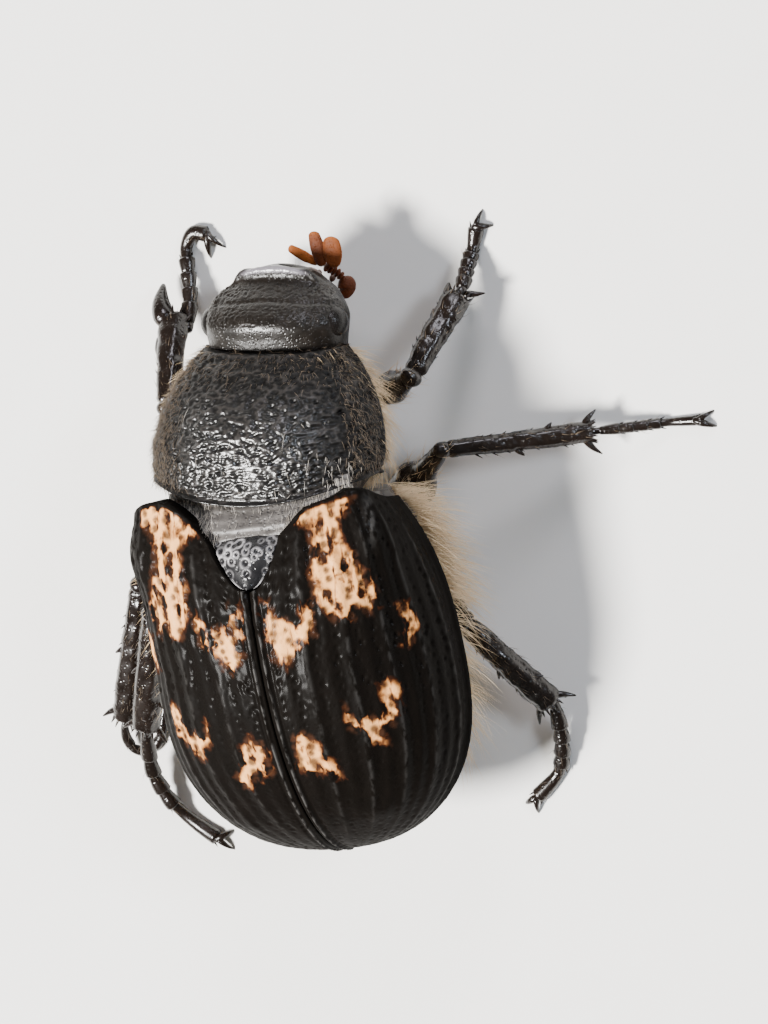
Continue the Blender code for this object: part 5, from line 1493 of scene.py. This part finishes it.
leg_horn = horn("leg_horn", LEG_BLACK, LEG_BROWN, 0.23, blotch=3.5, pores=(15.0, 0.25), grain=0.25,
                gloss=0.40).material
leg_pieces = {}
for leg_number, (leg_name, leg_plan) in enumerate(LEGS.items()):
    for part_name, node, shape in (("thigh_", "femur_", thigh(leg_name, leg_plan)),
                                   ("shin_", "tibia_", shin(leg_plan, 60 + leg_number)),
                                   ("foot_", "tarsus_", foot(leg_plan))):
        leg_pieces[part_name + leg_name] = piece(part_name + leg_name, shape, leg_horn,
                                                 [node + leg_name])


# Hair
# Long pale silky hair on the flanks, chest and belly, short hair on the large shield's sides and
# on the legs. One geometry group sets curved three-sided hairs over a skin where its mark asks.
HAIR_PALE = (0.90, 0.70, 0.45)
HAIR_SHADE = (0.58, 0.42, 0.24)
HAIR_GREY = (0.17, 0.125, 0.080)
HAIR_BROWN = (0.070, 0.048, 0.030)
HAIR_WHITE = (0.70, 0.66, 0.60)
SHORTEST_HAIR, LONGEST_HAIR = 0.55, 1.1

# No hair is longer than this share of its root's height over the floor. Each hair has a patch of
# this width on the flat map.
FLOOR_SHARE = 0.85
HAIR_PATCH = 0.003


def hair_finish(name, dark, light_tone):
    look = Finish(name)
    tone = look.mix(look.noise(look.place, 5.0, 3.0), dark, light_tone)
    return look.wear({"Base Color": tone, "Roughness": 0.5})


def hair_group():
    """The geometry group that grows hairs where the mark `hair` is above 0."""
    group = bpy.data.node_groups.new("hair_growth", "GeometryNodeTree")
    face = group.interface
    face.new_socket("Skin", in_out="INPUT", socket_type="NodeSocketGeometry")
    for name, value in (("Density", 1e8), ("Length", 0.0005), ("Thickness", 0.000006),
                        ("Lift", 0.5), ("Bend", 0.3), ("Spread", 0.25)):
        face.new_socket(name, in_out="INPUT", socket_type="NodeSocketFloat").default_value = value
    face.new_socket("Seed", in_out="INPUT", socket_type="NodeSocketInt").default_value = 1
    face.new_socket("Mark", in_out="INPUT", socket_type="NodeSocketString").default_value = "hair"
    face.new_socket("Finish", in_out="INPUT", socket_type="NodeSocketMaterial")
    face.new_socket("Hair", in_out="OUTPUT", socket_type="NodeSocketGeometry")
    grow = Nodes(group)
    given = grow.add("NodeGroupInput").outputs
    length, seed = given["Length"], given["Seed"]

    def named(name, kind="FLOAT_VECTOR"):
        return grow.add("GeometryNodeInputNamedAttribute", {"Name": name},
                        data_type=kind).outputs["Attribute"]

    def stored(geometry, name, value, domain="POINT", kind="FLOAT_VECTOR"):
        return grow.add("GeometryNodeStoreNamedAttribute",
                        {"Geometry": geometry, "Name": name, "Value": value},
                        data_type=kind, domain=domain).outputs["Geometry"]

    def joined(**parts):
        return grow.add("ShaderNodeCombineXYZ", parts).outputs["Vector"]

    def along(vector):
        return grow.add("ShaderNodeSeparateXYZ", {"Vector": vector}).outputs

    growth = grow.number("MULTIPLY", named(given["Mark"], "FLOAT"), given["Density"])
    points = grow.add("GeometryNodeDistributePointsOnFaces",
                      {"Mesh": given["Skin"], "Density": growth, "Seed": seed})
    rooted = stored(points.outputs["Points"], "root_uv", named("OFBake"))
    jitter = grow.add("FunctionNodeRandomValue", {"Seed": seed}, data_type="FLOAT_VECTOR")
    grow.plug(jitter, {"Min": (-1.0, -1.0, -1.0), "Max": (1.0, 1.0, 1.0)})
    stray = grow.vector("SCALE", jitter.outputs["Value"], given["Spread"])
    raised = grow.vector("SCALE", points.outputs["Normal"], given["Lift"])
    flat = grow.vector("SCALE", named("lie"), grow.number("SUBTRACT", 1.0, given["Lift"]))
    way = grow.vector("NORMALIZE", grow.vector("ADD", grow.vector("ADD", raised, flat), stray))
    turn = grow.add("FunctionNodeAxesToRotation",
                    {"Primary Axis": way,
                     "Secondary Axis": grow.vector("ADD", named("lie"), stray)},
                    primary_axis="Z", secondary_axis="X")
    size = grow.add("FunctionNodeRandomValue", {"Seed": seed}, data_type="FLOAT")
    grow.plug(size, {2: SHORTEST_HAIR, 3: LONGEST_HAIR})
    cone = grow.add("GeometryNodeMeshCone",
                    {"Vertices": 3, "Side Segments": 4, "Radius Top": 0.0,
                     "Radius Bottom": given["Thickness"], "Depth": length}, fill_type="NGON")
    spot = grow.add("GeometryNodeInputPosition").outputs["Position"]
    room = grow.number("MULTIPLY", grow.number("DIVIDE", along(spot)["Z"], length), FLOOR_SHARE)
    local = along(grow.vector("DIVIDE", spot, joined(X=length, Y=length, Z=length)))
    curve = grow.number("MULTIPLY", local["Z"], local["Z"])
    swing = grow.number("MULTIPLY", grow.number("MULTIPLY", curve, given["Bend"]), length)
    bent = grow.add("GeometryNodeSetPosition",
                    {"Geometry": cone.outputs["Mesh"], "Offset": joined(X=swing)})
    template = stored(bent.outputs["Geometry"], "local", joined(X=local["Z"], Y=local["X"]))
    scale = grow.number("MULTIPLY", size.outputs[1], grow.number("MINIMUM", room, 1.0))
    spread = grow.add("GeometryNodeInstanceOnPoints",
                      {"Points": rooted, "Instance": template, "Rotation": turn.outputs["Rotation"],
                       "Scale": scale})
    real = grow.add("GeometryNodeRealizeInstances", {"Geometry": spread.outputs["Instances"]})
    own = grow.vector("ADD", named("root_uv"), grow.vector("SCALE", named("local"), HAIR_PATCH))
    mapped = stored(real.outputs["Geometry"], "OFBake", own, "CORNER", "FLOAT2")
    dressed = grow.add("GeometryNodeSetMaterial", {"Geometry": mapped, "Material": given["Finish"]})
    grow.add("NodeGroupOutput", {"Hair": dressed.outputs["Geometry"]})
    return group


def coat(name, skin, mark, slot, finish, seed, per_mm2, length, thickness, lift, bend, spread):
    """Hair over one skin where its mark asks, with sizes in millimetres."""
    grower = mesh_object(name + "_grower", skin.data.copy())
    modifier = grower.modifiers.new("growth", "NODES")
    modifier.node_group = hair_growth
    values = {"Density": per_mm2 / MM ** 2, "Length": length * MM, "Thickness": thickness * MM,
              "Lift": lift, "Bend": bend, "Spread": spread, "Seed": seed, "Finish": finish,
              "Mark": mark}
    for item in hair_growth.interface.items_tree:
        if item.in_out == "INPUT" and item.name in values:
            modifier[item.identifier] = values[item.name]
    bpy.context.view_layer.update()
    grown = grower.evaluated_get(bpy.context.evaluated_depsgraph_get())
    mesh = bpy.data.meshes.new_from_object(grown)
    grower.modifiers.remove(modifier)
    bpy.data.objects.remove(grower)
    mesh.name = name
    mesh.shade_smooth()
    made = mesh_object(name, mesh)
    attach(made, "root")


hair_growth = hair_group()
pale_hair = hair_finish("pale_hair", HAIR_SHADE, HAIR_PALE)
grey_hair = hair_finish("grey_hair", HAIR_BROWN, HAIR_GREY)
white_hair = hair_finish("white_hair", HAIR_GREY, HAIR_WHITE)

# Each coat: its skin, mark, slot and finish, seed, hairs per square millimetre, length, thickness,
# lift off the skin, bend and spread.
COATS = {
    "fore_hair": (fore_piece, "hair", "black_horn", pale_hair, 1,
                  260.0, 0.55, 0.0080, 0.45, 0.35, 0.30),
    "chest_hair": (chest_piece, "hair", "hairy_brown", pale_hair, 2,
                   370.0, 0.95, 0.0095, 0.55, 0.30, 0.28),
    "belly_hair": (belly_piece, "hair", "hairy_brown", pale_hair, 3,
                   280.0, 0.85, 0.0085, 0.50, 0.30, 0.28),
    "tail_hair": (tail_piece, "hair", "hairy_brown", pale_hair, 4,
                  300.0, 0.36, 0.0080, 0.40, 0.30, 0.35),
    "shield_hair": (shield_piece, "hair", "shield_grey", grey_hair, 5,
                    330.0, 0.17, 0.0045, 0.38, 0.30, 0.45),
    "corner_hair": (shield_piece, "corner", "shield_grey", white_hair, 8,
                    150.0, 0.17, 0.0050, 0.25, 0.20, 0.35),
    "saddle_hair": (saddle_piece, "hair", "shield_grey", white_hair, 6,
                    420.0, 0.28, 0.0060, 0.14, 0.12, 0.22),
    "disc_hair": (shield_piece, "shine", "shield_grey", white_hair, 9,
                  9.0, 0.34, 0.0045, 0.12, 0.30, 0.60),
    "mouth_hair": (mouth_piece, "hair", "mouth_brown", pale_hair, 7,
                   90.0, 0.25, 0.0060, 0.50, 0.30, 0.35),
}
for coat_name, coat_plan in COATS.items():
    coat(coat_name, *coat_plan)
for coat_number, (skin_name, skin_piece) in enumerate(leg_pieces.items()):
    if skin_name.startswith("thigh"):
        leg_coat = (pale_hair, 20 + coat_number, 60.0, 0.38, 0.0055)
    else:
        leg_coat = (grey_hair, 20 + coat_number, 34.0, 0.17, 0.0045)
    coat(skin_name + "_hair", skin_piece, "hair", "black_horn", *leg_coat, 0.35, 0.30, 0.35)
